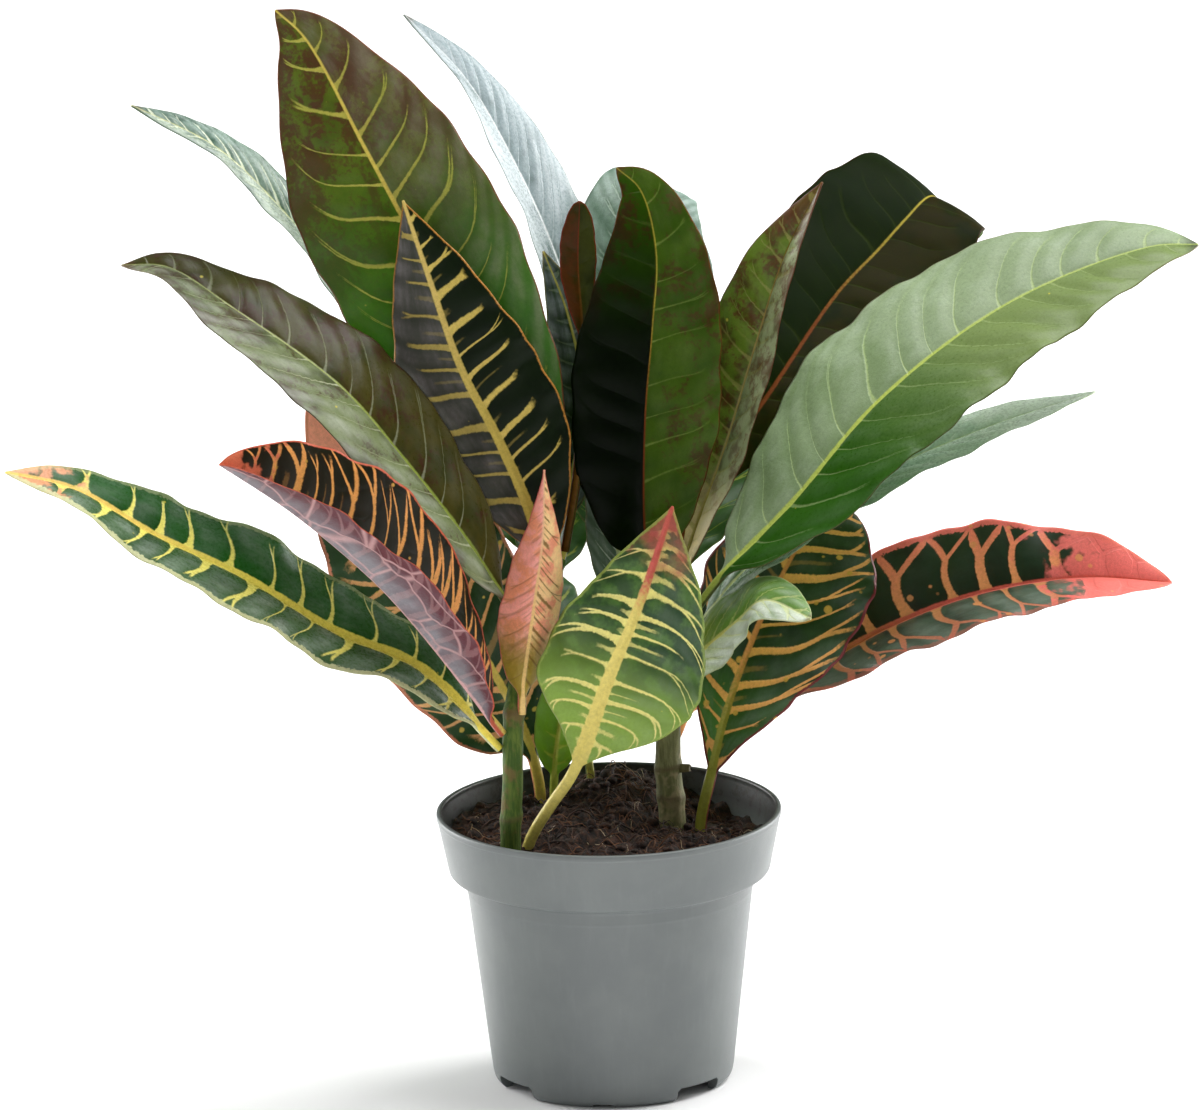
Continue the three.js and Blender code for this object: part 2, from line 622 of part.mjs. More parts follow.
const LEAF_FINISH = finish(0x2f5a2c, 0.4);
const plant = new THREE.Group();
const holes = [
  ...Object.values(STEMS).map((stem) => stemGeometry(stem, GAP)),
  ...Object.values(LEAVES).filter((leaf) => leaf.stem === 'soil').map(stalkHole),
];
plant.add(piece('pot', makePot(), finish(0x6f7675, 0.45)));
plant.add(piece('soil', makeSoil(holes), finish(0x2c1c14, 0.95)));
plant.add(piece('stem_left', makeStem('a'), finish(0x5d7a45, 0.7)));
plant.add(piece('stem_right', makeStem('b'), finish(0x85886a, 0.8)));
for (const [name, leaf] of Object.entries(LEAVES)) plant.add(piece(name, makeLeaf(leaf), LEAF_FINISH));
plant.position.set(-SPREAD_MIDDLE.x, -SPREAD_MIDDLE.y, 0);

export default plant;
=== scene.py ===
# The looks of a potted croton: large mottled leaves on two woody stems, in a grey grow pot.
import random
from math import cos, exp, hypot, pi, sin, sqrt, tau
from types import SimpleNamespace as Row

import bmesh
import bpy
import numpy as np
from mathutils import Matrix, Vector, noise


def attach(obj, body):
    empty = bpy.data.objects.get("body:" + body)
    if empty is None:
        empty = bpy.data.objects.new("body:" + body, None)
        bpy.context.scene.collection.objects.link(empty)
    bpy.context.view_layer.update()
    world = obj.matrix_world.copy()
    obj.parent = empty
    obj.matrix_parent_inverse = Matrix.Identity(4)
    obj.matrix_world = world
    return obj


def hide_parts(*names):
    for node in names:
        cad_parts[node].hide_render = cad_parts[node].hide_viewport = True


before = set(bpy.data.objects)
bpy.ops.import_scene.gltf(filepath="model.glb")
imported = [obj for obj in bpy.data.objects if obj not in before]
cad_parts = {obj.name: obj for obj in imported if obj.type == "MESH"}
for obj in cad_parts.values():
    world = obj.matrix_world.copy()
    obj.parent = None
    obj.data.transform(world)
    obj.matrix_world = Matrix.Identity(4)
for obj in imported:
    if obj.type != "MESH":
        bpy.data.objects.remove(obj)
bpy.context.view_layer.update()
MM = 0.001
DEG = pi / 180
TINY = 1e-4

# Lengths below are in millimetres from the pot's axis, as in the part's source.
GAP = 0.3
SPREAD_MIDDLE = np.array((1.5, 29.8, 0))  # the middle of the plant's box, the frame's origin
STEMS = dict(
    a=Row(
        line=[(-30, -24, 62), (-34, -28, 87), (-33, -27, 115), (-32, -24, 139), (-27, -16, 159),
              (-15, -4, 188)],
        radii=[3.8, 3.7, 3.6, 3.5, 3.3, 2], knots=[102, 139, 162],
    ),
    b=Row(
        line=[(22, 8, 62), (22, 8, 90), (21, 8, 108), (21, 7, 133), (19, 7, 155), (17, 8, 178)],
        radii=[4.7, 4.7, 4.5, 4.2, 3.8, 2.4], knots=[98, 109, 134],
    ),
)
STUB = Row(stem="b", height=109, turn=-20, length=3.4, radius=1.5)
POT_HEIGHT, RIM_RADIUS = 96.5, 60
BAND_FOOT_HEIGHT, BAND_FOOT_RADIUS = 76.5, 55.7
SHOULDER_HEIGHT, SHOULDER_RADIUS = 73, 50
WALL_FOOT_HEIGHT, WALL_FOOT_RADIUS = 5, 42
FOOT_RADIUS, FOOT_RING_WIDTH = 39.5, 4
WALL = 1.4
FLOOR_UNDERSIDE, FLOOR_TOP = 3.5, 5.5
UNDERCUT = 1.7
FEET_TURN, NOTCH_SPREAD = -95.5, 51.5
WIDE_NOTCH, SMALL_NOTCH, NOTCH_ROUNDING = (20, 5), (8, 1.4), 0.8  # width and height, rounding
DRAIN_RADIUS, DRAIN_CIRCLE, DRAINS = 4, 33, 8
SOIL_LEVEL, SOIL_CLEAR, SOIL_LUMP = 87, 0.4, 1.1
SOIL_MOUNDS = [
    (4, 38, 11, 17), (-34, 6, 4, 16), (-8, -12, 3, 12), (34, -18, 2, 13), (38, 26, -5, 14),
]

# How each leaf grows: what it stands on, the height of its foot on the stem, the length of its
# stalk and the points of its midrib, with the stalk's where it stands in the soil. half is the
# width of a half, fold the degrees that it folds up from the midrib, and curl how much further
# its edge curls: for left and right, or one number for both. face is the way that the upper
# side looks, at the foot and at the tip or once for both. shape is how blunt foot and tip are,
# and where the blade is widest. wave is the height, the number and the start of the edge's
# waves. stout is the stalk's radius.
GROWN = dict(shape=(0.7, 0.75), fold=8, curl=-6, wave=(1, 5, 0), stout=1.5)
LEAVES = dict(
    tall_left=dict(
        stem="a", height=184, stalk=14, rib=[(-30, 8, 233), (-59, 20, 288), (-79, 28, 326),
        (-100, 38, 365), (-110, 42, 374)], half=(35, 33), shape=(0.8, 0.8, 0.55),
        face=((-0.1, -1, 0.35), (0, -1, 0.3)), fold=(8, 6), curl=(-8, -4),
    ),
    edge_left=dict(
        stem="a", height=174, stalk=14, rib=[(-36, 18, 206), (-59, 34, 236), (-88, 38, 275),
        (-108, 34, 303), (-131, 26, 329), (-160, 14, 348)], half=17, shape=(0.8, 0.8),
        face=(0.7, -0.3, 0.75), fold=12, curl=-4,
    ),
    dark_veined=dict(
        stem="a", height=178, stalk=8, rib=[(-24, -9, 202), (-35, -5, 230), (-48, -1, 256),
        (-58, 3, 286), (-67, 8, 314)], half=(25, 26), shape=(0.75, 1), face=(0, -1, 0.3), fold=(-16, 4),
        curl=(-6, -4), wave=(0.8, 6, 0.4),
    ),
    olive_left=dict(
        stem="a", height=164, stalk=12, rib=[(-46, -24, 199), (-69, -20, 230), (-90, -14, 254),
        (-127, 4, 278), (-149, 18, 289), (-165, 26, 288)], half=25, shape=(0.7, 0.8),
        face=((0.4, -0.5, 0.75), (0.45, -0.48, 0.75)), fold=11, curl=-4, wave=(0.8, 5, 0),
    ),
    silver_back=dict(
        stem="a", height=166, stalk=46, rib=[(-12, 16, 196), (-8, 36, 222), (-7, 46, 253),
        (-16, 55, 284), (-29, 64, 313), (-45, 74, 340), (-66, 84, 361)], half=(20, 23),
        shape=(0.7, 0.8), face=((0.74, -0.4, 0.6), (0.74, -0.3, 0.6)), fold=16, curl=-4,
        wave=(0.8, 4, 0),
    ),
    maroon_young=dict(
        stem="a", height=189, stalk=74, rib=[(-9, 2, 215), (-7, 11, 240), (-6, 15, 266), (-7, 20, 287),
        (-6, 22, 309)], half=6.5, shape=(0.7, 0.45), face=(0, -1, 0.2), fold=10, curl=0,
        wave=(0.3, 3, 0),
    ),
    blue_back=dict(
        stem="b", height=174, stalk=13, rib=[(18, 28, 202), (20, 41, 232), (18, 51, 262), (16, 63, 289),
        (20, 77, 299), (27, 96, 290)], half=(25, 23), shape=(0.8, 0.6),
        face=((0, -1, 0.4), (0.1, -0.6, 1)), fold=6, curl=(-10, -8), wave=(0.8, 4, 0),
    ),
    centre=dict(
        stem="b", height=172, stalk=8, rib=[(14, 2, 196), (15, 6, 236), (18, 11, 265), (20, 17, 292),
        (15, 24, 312), (7, 28, 319)], half=26, shape=(0.55, 0.75), face=((0, -1, 0.25), (0, -1, 0.35)),
        fold=(8, 4), curl=(-6, -4), wave=(0.8, 5, 0),
    ),
    folded_right=dict(
        stem="b", height=158, stalk=14, rib=[(29, 15, 183), (44, 21, 223), (54, 23, 255), (65, 23, 288),
        (78, 22, 314)], half=21, shape=(0.8, 0.9), face=(-0.6, -1, 0.4), fold=(10, 40), curl=(-6, 0),
        wave=(0.8, 4, 0),
    ),
    dark_arched=dict(
        stem="b", height=168, stalk=34, rib=[(32, 22, 200), (58, 41, 233), (83, 75, 260), (98, 93, 271),
        (107, 104, 278), (116, 118, 283), (122, 137, 274), (125, 152, 258)], half=(33, 27),
        shape=(0.8, 0.55, 0.62), face=((0.2, -1, 0.5), (0.3, -0.3, 1)), fold=6, curl=-8,
    ),
    broad_right=dict(
        stem="b", height=152, stalk=34, rib=[(40, -8, 181), (66, 0, 206), (97, 18, 237), (143, 44, 264),
        (192, 62, 278), (209, 68, 277)], half=(36, 34), face=((-0.4, -0.6, 0.73), (-0.4, -0.5, 0.73)),
        fold=(7, 5), curl=-4, wave=(1.2, 6, 0),
    ),
    under_right=dict(
        stem="b", height=144, stalk=16, rib=[(45, 12, 174), (86, 20, 204), (131, 36, 220),
        (172, 52, 229)], half=22, shape=(0.7, 0.8), face=(-0.45, -0.2, 0.87), curl=-4, wave=(0.8, 5, 0),
    ),
    coral_right=dict(
        stem="b", height=118, stalk=30, rib=[(30, 20, 127), (54, 30, 129), (76, 31, 139),
        (101, 35, 151), (130, 40, 160), (166, 48, 163), (198, 54, 159)], half=27, shape=(0.6, 0.7),
        face=(-0.1, -0.7, 0.7), fold=(16, 38), curl=-4, wave=(1.6, 5, 0),
    ),
    orange_right=dict(
        stem="soil", stalk=26, stout=2, rib=[(32, 4, 78), (32, 4, 90), (36, 6, 107), (41, 9, 126),
        (48, 13, 145), (59, 21, 168), (70, 32, 184), (82, 44, 194)], half=(26, 34),
        shape=(1.2, 0.45, 0.66), face=((-0.3, -1, 0.3), (-0.3, -1, 0.5)), fold=4, wave=(1.4, 5, 0),
    ),
    short_right=dict(
        stem="b", height=138, stalk=5, rib=[(31, -7, 152), (46, -17, 168), (55, -24, 177),
        (71, -34, 173)], half=(16, 15), shape=(0.35, 0.6), face=(0, -0.6, 1), fold=4, curl=(-6, -4),
        wave=(0.6, 3, 0),
    ),
    front=dict(
        stem="soil", stalk=44, stout=2, rib=[(-31, -17, 78), (-27, -19, 92), (-20, -24, 105),
        (-12, -28, 118), (1, -33, 153), (12, -36, 180), (24, -37, 215)], half=(25, 32),
        shape=(1.8, 1, 0.37), face=((0, -1, 0.3), (-0.1, -1, 0.3)), fold=(6, 4), wave=(2, 4, 0),
    ),
    pink_curled=dict(
        stem="a", height=136, stalk=6, rib=[(-29, -27, 147), (-27, -27, 161), (-24, -29, 181),
        (-21, -30, 203), (-20, -30, 227)], half=(12.5, 14), shape=(0.6, 1.2),
        face=((0.25, -1, 0.1), (0.15, -1, 0.1)), fold=-20, curl=-30, wave=(0.6, 3, 0),
    ),
    folded_left=dict(
        stem="a", height=131, stalk=5, rib=[(-50, -38, 154), (-76, -59, 193), (-104, -73, 223),
        (-131, -85, 246)], half=(29, 32), shape=(0.8, 0.6), face=(0.6, -0.3, 0.75), fold=(54, 50),
        curl=-4, wave=(1, 4, 0.2),
    ),
    low_left=dict(
        stem="a", height=125, stalk=9, rib=[(-65, -27, 156), (-93, -26, 169), (-124, -26, 189),
        (-155, -25, 205), (-182, -22, 221), (-206, -20, 227)], half=25, shape=(0.6, 0.75),
        face=(0.36, -0.36, 0.86), fold=11, wave=(1.2, 5, 0.1),
    ),
    pink_tip_left=dict(
        stem="soil", stalk=25, stout=2, rib=[(-24, 34, 80), (-24, 34, 95), (-28, 32, 113),
        (-37, 22, 136), (-55, 17, 171), (-78, 8, 214), (-98, 5, 254)], half=(35, 28), shape=(0.6, 0.7),
        face=(0.2, -1, 0.6), fold=(2, 4), curl=(-8, -4), wave=(1, 6, 0),
    ),
    inner_green=dict(
        stem="soil", stalk=20, rib=[(-19, 28, 81), (-19, 28, 95), (-18, 26, 110), (-15, 24, 128),
        (-11, 22, 150)], half=9, shape=(0.6, 0.8), face=(0, -1, 0.3), fold=6, curl=0, wave=(0.4, 3, 0),
    ),
    inner_striped=dict(
        stem="b", height=148, stalk=10, rib=[(7, 12, 172), (4, 12, 197), (1, 12, 215), (-2, 12, 230)],
        half=(10.5, 13), shape=(0.7, 0.8), face=(0, -1, 0.3), fold=6, curl=0, wave=(0.4, 3, 0.3),
    ),
    inner_glossy=dict(
        stem="a", height=178, stalk=24, rib=[(-12, 6, 196), (-10, 16, 214), (-6, 21, 238),
        (-11, 24, 268), (-19, 27, 290)], half=11, shape=(0.7, 0.8), face=(0.2, -1, 0.3), curl=0,
        wave=(0.5, 3, 0),
    ),
    rear_left_high=dict(
        stem="a", height=152, stalk=46, rib=[(-19, 6, 166), (-16, 30, 180), (-30, 56, 194),
        (-54, 82, 198), (-74, 102, 188)], half=23, face=((0, -0.4, 1), (0, 0.2, 1)), wave=(1, 5, 0.1),
    ),
    rear_left_middle=dict(
        stem="soil", stalk=30, rib=[(-6, 42, 78), (-6, 42, 95), (-10, 47, 118), (-24, 64, 146),
        (-40, 88, 160), (-56, 110, 150)], half=22, face=((0, -0.2, 1), (0, 0.3, 1)),
    ),
    rear_right_low=dict(
        stem="b", height=128, stalk=18, rib=[(10, 28, 142), (16, 58, 152), (22, 88, 150),
        (26, 112, 136)], half=22, face=((0, -0.2, 1), (0.2, 0.3, 1)),
    ),
    rear_middle=dict(
        stem="b", height=158, stalk=24, rib=[(8, 32, 186), (2, 62, 210), (-2, 92, 222), (-2, 118, 214)],
        half=(23, 22), face=((0, -0.4, 1), (0, 0.3, 1)), fold=10, wave=(0.8, 5, 0.15),
    ),
    rear_right_middle=dict(
        stem="b", height=118, stalk=24, rib=[(20, 28, 132), (40, 52, 140), (68, 76, 138),
        (92, 94, 122)], half=20, face=((0, -0.2, 1), (0.2, 0.2, 1)),
    ),
    rear_right_high=dict(
        stem="b", height=152, stalk=22, rib=[(18, 34, 170), (32, 66, 192), (50, 94, 204),
        (68, 116, 198)], half=23, face=((0, -0.4, 1), (0.1, 0.2, 1)),
    ),
)

# How each leaf is coloured (red, green and blue from 0 to 255) and veined, where it isn't plain.
# Left and right are its halves on the upper side with the tip up, and a pair of shares or
# strengths is for the two halves. Sizes, spacing and widths are in millimetres. lean and bow
# tilt and bend the side veins, and length, fork and fork_from are shares of a half's width.
# What ends in _from or _to otherwise is a share of the blade's length. shine is the level of
# the gloss and rough its roughness. The sheen colour and its share paint a pale reflection on the
# crowns of the quilting, and the dark share paints shade towards the foot of a half.
PLAIN = dict(
    left=(58, 98, 26), right=(58, 98, 26), second=(38, 72, 16), mottle=0.35, mottle_size=16,
    # This line also holds the share of painted shade on each half and how far out it reaches.
    blush=(104, 54, 36), blush_share=0.0, dusk=0.0, dusk_to=0.5, vein=(186, 186, 84),
    vein_end=(150, 164, 70), vein_strength=0.8, spacing=11, lean=0.5, bow=0.3, width=0.55, flare=0.5,
    length=(0.6, 0.95), fork=0.5, stubs=0.3, rib=((196, 186, 90), (180, 170, 80)), rib_width=1.1,
    rib_turn=(0.3, 0.8), edge=(110, 96, 50), edge_width=0.5, edge_strength=0.5, tip=(90, 60, 40),
    tip_from=0.97, tip_to=1.0, foot=(90, 130, 40), foot_to=0.0, spots=0.15, spot=(214, 200, 80),
    # This line begins with the colour and the share of a pale painted sheen, a painted reflection.
    film=(176, 192, 176), film_share=0.08, rough=0.34, puff=0.8, under=(104, 134, 84),
    under_vein=(156, 176, 118), under_net=False, glow=(0.3, 0.5, 0.05), glow_share=0.1, shine=0.22,
    foot_share=1.0, taper=0.5, ragged=1.0, fork_from=0.42,
)
LOOKS = dict(
    tall_left=dict(
        left=(88, 104, 30), right=(98, 92, 40), second=(70, 82, 24), mottle=0.5, blush=(78, 34, 30),
        blush_share=0.36, vein=(196, 186, 84), vein_end=(158, 166, 70), vein_strength=(0.85, 0.8),
        spacing=14.5, lean=0.25, bow=0.85, width=0.62, length=(0.7, 0.95), fork=0.15, stubs=0.0,
        rib=((180, 124, 50), (222, 200, 92)), rib_width=1.5, rib_turn=(0.3, 0.7), edge=(112, 60, 44),
        edge_strength=0.9, foot=(50, 106, 12), foot_to=0.86, spots=0.4, film=(150, 148, 124),
        film_share=(0.02, 0.26), puff=1.5, taper=0.6,
    ),
    # The pale silvery colour of its left half is partly its own and partly painted reflection.
    edge_left=dict(
        left=(158, 174, 152), right=(104, 130, 116), second=(52, 84, 70), mottle=0.65, mottle_size=9,
        vein=(222, 228, 200), vein_end=(206, 216, 196), vein_strength=(0.7, 0.9), spacing=8.5, lean=1.5,
        width=0.7, flare=0.3, rib=((224, 224, 180), (214, 214, 160)), edge=(70, 92, 76),
        edge_strength=0.8, spots=0.0, film=(208, 216, 212), film_share=(0.4, 0.25), rough=0.28,
    ),
    # The lighter grey of its left half, with the pale sheen on it, is painted reflection.
    dark_veined=dict(
        left=(60, 62, 54), right=(22, 31, 17), second=(14, 20, 14), mottle=0.3, vein=(224, 198, 104),
        vein_end=(196, 172, 84), vein_strength=(0.65, 1.0), spacing=10.2, lean=0.3, bow=0.25,
        width=0.88, flare=0.3, length=(0.62, 0.92), fork=0.3, stubs=0.25,
        rib=((206, 182, 88), (224, 196, 110)), rib_width=2.2, edge=(168, 116, 56), edge_width=0.6,
        edge_strength=1.0, spots=0.2, film=(122, 117, 116), film_share=(0.5, 0.0), puff=0.9, shine=0.12,
        taper=0.55, ragged=0.7,
    ),
    olive_left=dict(
        left=(112, 124, 80), right=(70, 64, 24), second=(46, 50, 18), mottle=0.45, blush=(62, 30, 20),
        blush_share=0.22, vein=(184, 188, 156), vein_end=(132, 138, 96), vein_strength=(0.9, 0.4),
        spacing=12.5, lean=0.75, bow=0.35, width=0.36, flare=0.2, length=(0.8, 1.0), fork=0.1,
        stubs=0.0, rib=((136, 150, 70), (176, 184, 120)), rib_width=0.9, edge=(84, 62, 40), spots=0.12,
        film=(176, 180, 164), film_share=(0.42, 0.05), rough=0.3, puff=1.3, shine=0.16,
    ),
    # Its pale silvery ground is partly its own colour and partly painted reflection.
    silver_back=dict(
        left=(166, 177, 179), right=(138, 153, 157), second=(70, 90, 90), mottle=0.8, mottle_size=26,
        vein=(196, 204, 206), vein_end=(180, 190, 192), vein_strength=0.35, spacing=9, lean=1.6,
        rib=((222, 226, 226), (228, 230, 230)), edge=(92, 104, 98), edge_strength=0.8, spots=0.0,
        film=(192, 200, 204), film_share=(0.6, 0.4), rough=0.28,
    ),
    maroon_young=dict(
        left=(74, 44, 18), right=(54, 60, 16), second=(40, 48, 12), mottle=0.5, mottle_size=8,
        vein_strength=0.0, rib=((96, 66, 26), (120, 40, 26)), rib_width=0.6, edge=(120, 36, 28),
        spots=0.0, film_share=0.0, puff=0.3, glow=(0.3, 0.12, 0.02), shine=0.1,
    ),
    blue_back=dict(
        left=(92, 116, 98), right=(108, 136, 122), second=(50, 84, 64), mottle=0.5,
        vein=(176, 190, 170), vein_end=(150, 170, 152), vein_strength=(0.5, 0.6), spacing=8, lean=0.9,
        rib=((196, 190, 110), (200, 196, 116)), edge=(80, 100, 80), spots=0.0, film=(176, 194, 186),
        film_share=(0.3, 0.45), puff=1.2,
    ),
    # Its halves, the left most, are painted nearly black towards the foot: painted shade.
    centre=dict(
        left=(50, 80, 14), right=(64, 90, 20), second=(42, 68, 12), mottle=0.45, mottle_size=26,
        blush=(66, 34, 24), blush_share=0.2, dusk=(1.0, 0.1), dusk_to=1.12, vein=(134, 152, 76),
        vein_end=(108, 134, 58), vein_strength=(0.15, 0.5), spacing=12, lean=0.15, bow=0.4, width=0.34,
        flare=0.2, length=(0.8, 1.0), fork=0.1, stubs=0.0, rib=((112, 52, 28), (170, 156, 60)),
        rib_width=0.9, rib_turn=(0.35, 0.75), edge=(104, 62, 34), edge_strength=0.7, spots=0.2,
        film=(120, 132, 84), film_share=(0.0, 0.14), puff=1.0, shine=0.06,
    ),
    folded_right=dict(
        left=(104, 128, 40), right=(150, 162, 116), second=(78, 56, 26), mottle=0.6, mottle_size=8,
        blush=(92, 46, 28), blush_share=0.22, vein=(176, 172, 96), vein_end=(150, 148, 80),
        vein_strength=(0.5, 0.3), spacing=9, lean=0.6, rib=((196, 180, 110), (150, 120, 60)),
        edge=(96, 46, 30), edge_strength=0.9, foot=(238, 216, 160), foot_to=0.36, spots=0.3,
        film=(180, 184, 152), film_share=(0.04, 0.2), puff=1.3, under=(160, 172, 128),
        under_vein=(206, 202, 170),
    ),
    dark_arched=dict(
        left=(20, 27, 8), right=(38, 32, 11), second=(15, 25, 7), mottle=0.45, vein=(52, 62, 22),
        vein_end=(40, 50, 18), vein_strength=(0.35, 0.5), spacing=12, lean=0.4, width=0.38, flare=0.2,
        fork=0.1, rib=((112, 60, 34), (160, 146, 60)), rib_width=1.0, rib_turn=(0.4, 0.75),
        edge=(66, 32, 20), spots=0.06, film_share=0.0, rough=0.5, puff=0.55, shine=0.03,
    ),
    # The lighter grey-green of its left half is partly its own colour and partly painted reflection.
    broad_right=dict(
        left=(138, 156, 118), right=(116, 134, 80), second=(100, 122, 76), mottle=0.3, mottle_size=30,
        vein=(176, 194, 132), vein_end=(154, 178, 122), vein_strength=(0.65, 0.35), spacing=14,
        lean=0.3, bow=0.75, width=0.36, flare=0.25, length=(0.8, 1.0), fork=0.1, stubs=0.0,
        rib=((178, 192, 92), (170, 188, 104)), rib_width=1.2, edge=(92, 82, 52), edge_width=0.4,
        edge_strength=0.8, tip=(60, 66, 50), tip_from=0.965, foot=(40, 84, 8), foot_to=0.7, spots=0.16,
        film=(174, 188, 166), film_share=(0.26, 0.05), rough=0.3, puff=1.45, shine=0.16,
        foot_share=(0.2, 1.0),
    ),
    # Its whitish colour towards the tip is painted reflection.
    under_right=dict(
        left=(122, 164, 138), right=(156, 186, 166), second=(92, 138, 104), mottle=0.25,
        vein=(176, 198, 170), vein_strength=0.3, lean=0.9, rib=((186, 198, 140), (190, 204, 170)),
        edge=(150, 170, 120), tip=(206, 216, 206), tip_from=0.5, tip_to=0.85, foot=(36, 90, 22),
        foot_to=0.4, spots=0.05, film=(206, 216, 208), film_share=0.5, rough=0.28,
    ),
    coral_right=dict(
        left=(26, 52, 34), right=(70, 88, 72), second=(18, 38, 26), mottle=0.4, mottle_size=12,
        vein=(246, 166, 104), vein_end=(234, 124, 102), vein_strength=(1.0, 0.7), spacing=13.5,
        lean=0.15, bow=0.1, width=1.35, flare=1.2, length=(1.1, 1.5), fork=1.1, stubs=0.0,
        rib=((240, 162, 94), (228, 110, 96)), rib_width=2.2, rib_turn=(0.1, 0.5), edge=(226, 112, 100),
        edge_width=2.2, edge_strength=(1.0, 0.35), tip=(230, 114, 106), tip_from=0.74, tip_to=0.8,
        spots=1.5, spot=(226, 150, 96), film=(150, 162, 150), film_share=(0.03, 0.3), puff=0.9,
        under=(70, 84, 62), under_vein=(214, 130, 104), glow=(0.5, 0.3, 0.06), shine=0.18, taper=0.2,
        ragged=0.5, fork_from=0.5,
    ),
    orange_right=dict(
        left=(26, 52, 30), right=(34, 62, 22), second=(18, 36, 22), mottle=0.4, mottle_size=14,
        vein=(238, 178, 90), vein_end=(236, 168, 98), vein_strength=(0.95, 1.0), spacing=10.0, bow=0.35,
        width=1.1, length=(0.75, 1.15), fork=1.0, stubs=0.2, rib=((150, 150, 60), (222, 150, 84)),
        rib_width=1.7, rib_turn=(0.15, 0.5), edge=(104, 36, 40), edge_width=1.0, edge_strength=1.0,
        foot=(60, 112, 30), foot_to=0.5, spots=1.4, spot=(216, 170, 76), puff=0.9,
        glow=(0.4, 0.36, 0.05), foot_share=(1.0, 0.4), taper=0.35, ragged=0.6, fork_from=0.5,
    ),
    short_right=dict(
        left=(96, 136, 50), right=(186, 198, 170), second=(66, 108, 36), vein=(206, 212, 130),
        vein_end=(200, 208, 140), vein_strength=0.5, spacing=8, lean=1.1, width=0.5,
        rib=((214, 210, 116), (200, 208, 150)), rib_width=1.4, edge=(190, 192, 130),
        foot=(150, 172, 60), foot_to=0.5, spots=0.0, film=(206, 214, 200), film_share=(0.15, 0.6),
    ),
    front=dict(
        left=(40, 70, 32), right=(36, 68, 42), second=(84, 122, 54), mottle=0.45, mottle_size=7,
        vein=(240, 228, 130), vein_end=(234, 226, 140), vein_strength=1.0, spacing=8.6, lean=0.35,
        bow=-0.65, width=0.95, flare=1.8, length=(0.7, 1.25), stubs=0.7,
        rib=((236, 216, 118), (200, 88, 80)), rib_width=3.2, rib_turn=(0.6, 0.78), edge=(150, 168, 84),
        edge_width=1.0, edge_strength=(0.8, 0.6), tip=(170, 80, 72), tip_from=0.78, tip_to=0.98,
        foot=(136, 168, 70), foot_to=0.6, spots=0.2, film=(170, 182, 160), film_share=(0.03, 0.1),
        puff=1.1, glow=(0.5, 0.6, 0.1), glow_share=0.15, taper=0.7, ragged=1.2,
    ),
    pink_curled=dict(
        left=(255, 172, 158), right=(255, 214, 150), second=(242, 156, 122), mottle=0.9, mottle_size=7,
        vein=(120, 96, 40), vein_end=(84, 76, 30), vein_strength=(0.35, 0.9), spacing=4.6, lean=-1.1,
        width=0.5, flare=0.0, length=(0.2, 1.3), stubs=0.8, rib=((244, 206, 130), (244, 196, 150)),
        rib_width=0.7, edge=(214, 96, 100), edge_strength=0.8, foot=(158, 140, 56), foot_to=0.4,
        spots=0.0, film_share=0.0, under=(240, 170, 156), under_vein=(214, 150, 120),
        glow=(0.8, 0.45, 0.25), glow_share=0.2, ragged=2.0,
    ),
    folded_left=dict(
        left=(34, 30, 20), right=(24, 30, 12), second=(18, 22, 10), mottle_size=9, vein=(240, 176, 88),
        vein_end=(236, 158, 90), vein_strength=(0.9, 1.0), spacing=8.4, lean=0.35, width=0.95,
        length=(0.85, 1.3), fork=0.9, stubs=0.2, rib=((206, 180, 90), (218, 136, 90)), rib_width=1.2,
        edge=(186, 88, 64), edge_width=0.7, edge_strength=(0.9, 1.0), tip=(216, 116, 84), tip_from=0.93,
        tip_to=0.97, spots=1.2, spot=(214, 160, 74), film_share=0.0, under=(120, 116, 122),
        under_vein=(210, 164, 162), under_net=True, glow=(0.5, 0.2, 0.08), taper=0.3, ragged=0.8,
        fork_from=0.4,
    ),
    low_left=dict(
        left=(56, 92, 46), right=(20, 84, 22), second=(12, 58, 14), mottle=0.4, vein=(255, 240, 116),
        vein_end=(246, 236, 132), vein_strength=1.0, spacing=14, lean=0.25, bow=0.0, width=1.05,
        flare=2.0, length=(0.8, 1.1), fork=0.25, stubs=0.0, rib=((250, 230, 100), (250, 206, 110)),
        rib_width=3.3, rib_turn=(0.5, 0.95), edge=(212, 212, 160), edge_width=2.2,
        edge_strength=(0.85, 0.3), tip=(230, 160, 120), tip_from=0.9, tip_to=0.95, foot=(28, 80, 14),
        foot_to=0.5, spots=0.3, film=(196, 206, 196), film_share=(0.26, 0.12), rough=0.28, puff=0.9,
        shine=0.15, foot_share=(0.3, 1.0), taper=0.85, ragged=0.7,
    ),
    pink_tip_left=dict(
        left=(30, 62, 26), right=(26, 54, 26), second=(20, 40, 18), mottle=0.4, mottle_size=12,
        vein=(244, 176, 110), vein_end=(242, 180, 124), vein_strength=1.0, spacing=12, bow=0.1,
        width=1.2, flare=0.8, length=(0.8, 1.2), fork=0.9, rib=((230, 200, 96), (240, 160, 120)),
        rib_width=1.8, edge=(222, 134, 106), edge_width=1.2, edge_strength=0.8, tip=(255, 164, 142),
        tip_from=0.72, tip_to=0.78, spots=1.2, spot=(224, 190, 90), taper=0.3, ragged=0.8,
    ),
    inner_green=dict(
        left=(116, 166, 40), right=(130, 176, 50), second=(84, 132, 26), vein=(220, 210, 90),
        vein_strength=0.6, spacing=8, glow=(0.5, 0.7, 0.1), glow_share=0.3,
    ),
    inner_striped=dict(
        left=(70, 92, 74), right=(56, 80, 56), second=(34, 56, 34), vein=(196, 206, 190),
        vein_end=(160, 176, 160), vein_strength=0.9, spacing=7, lean=1.4, width=0.42,
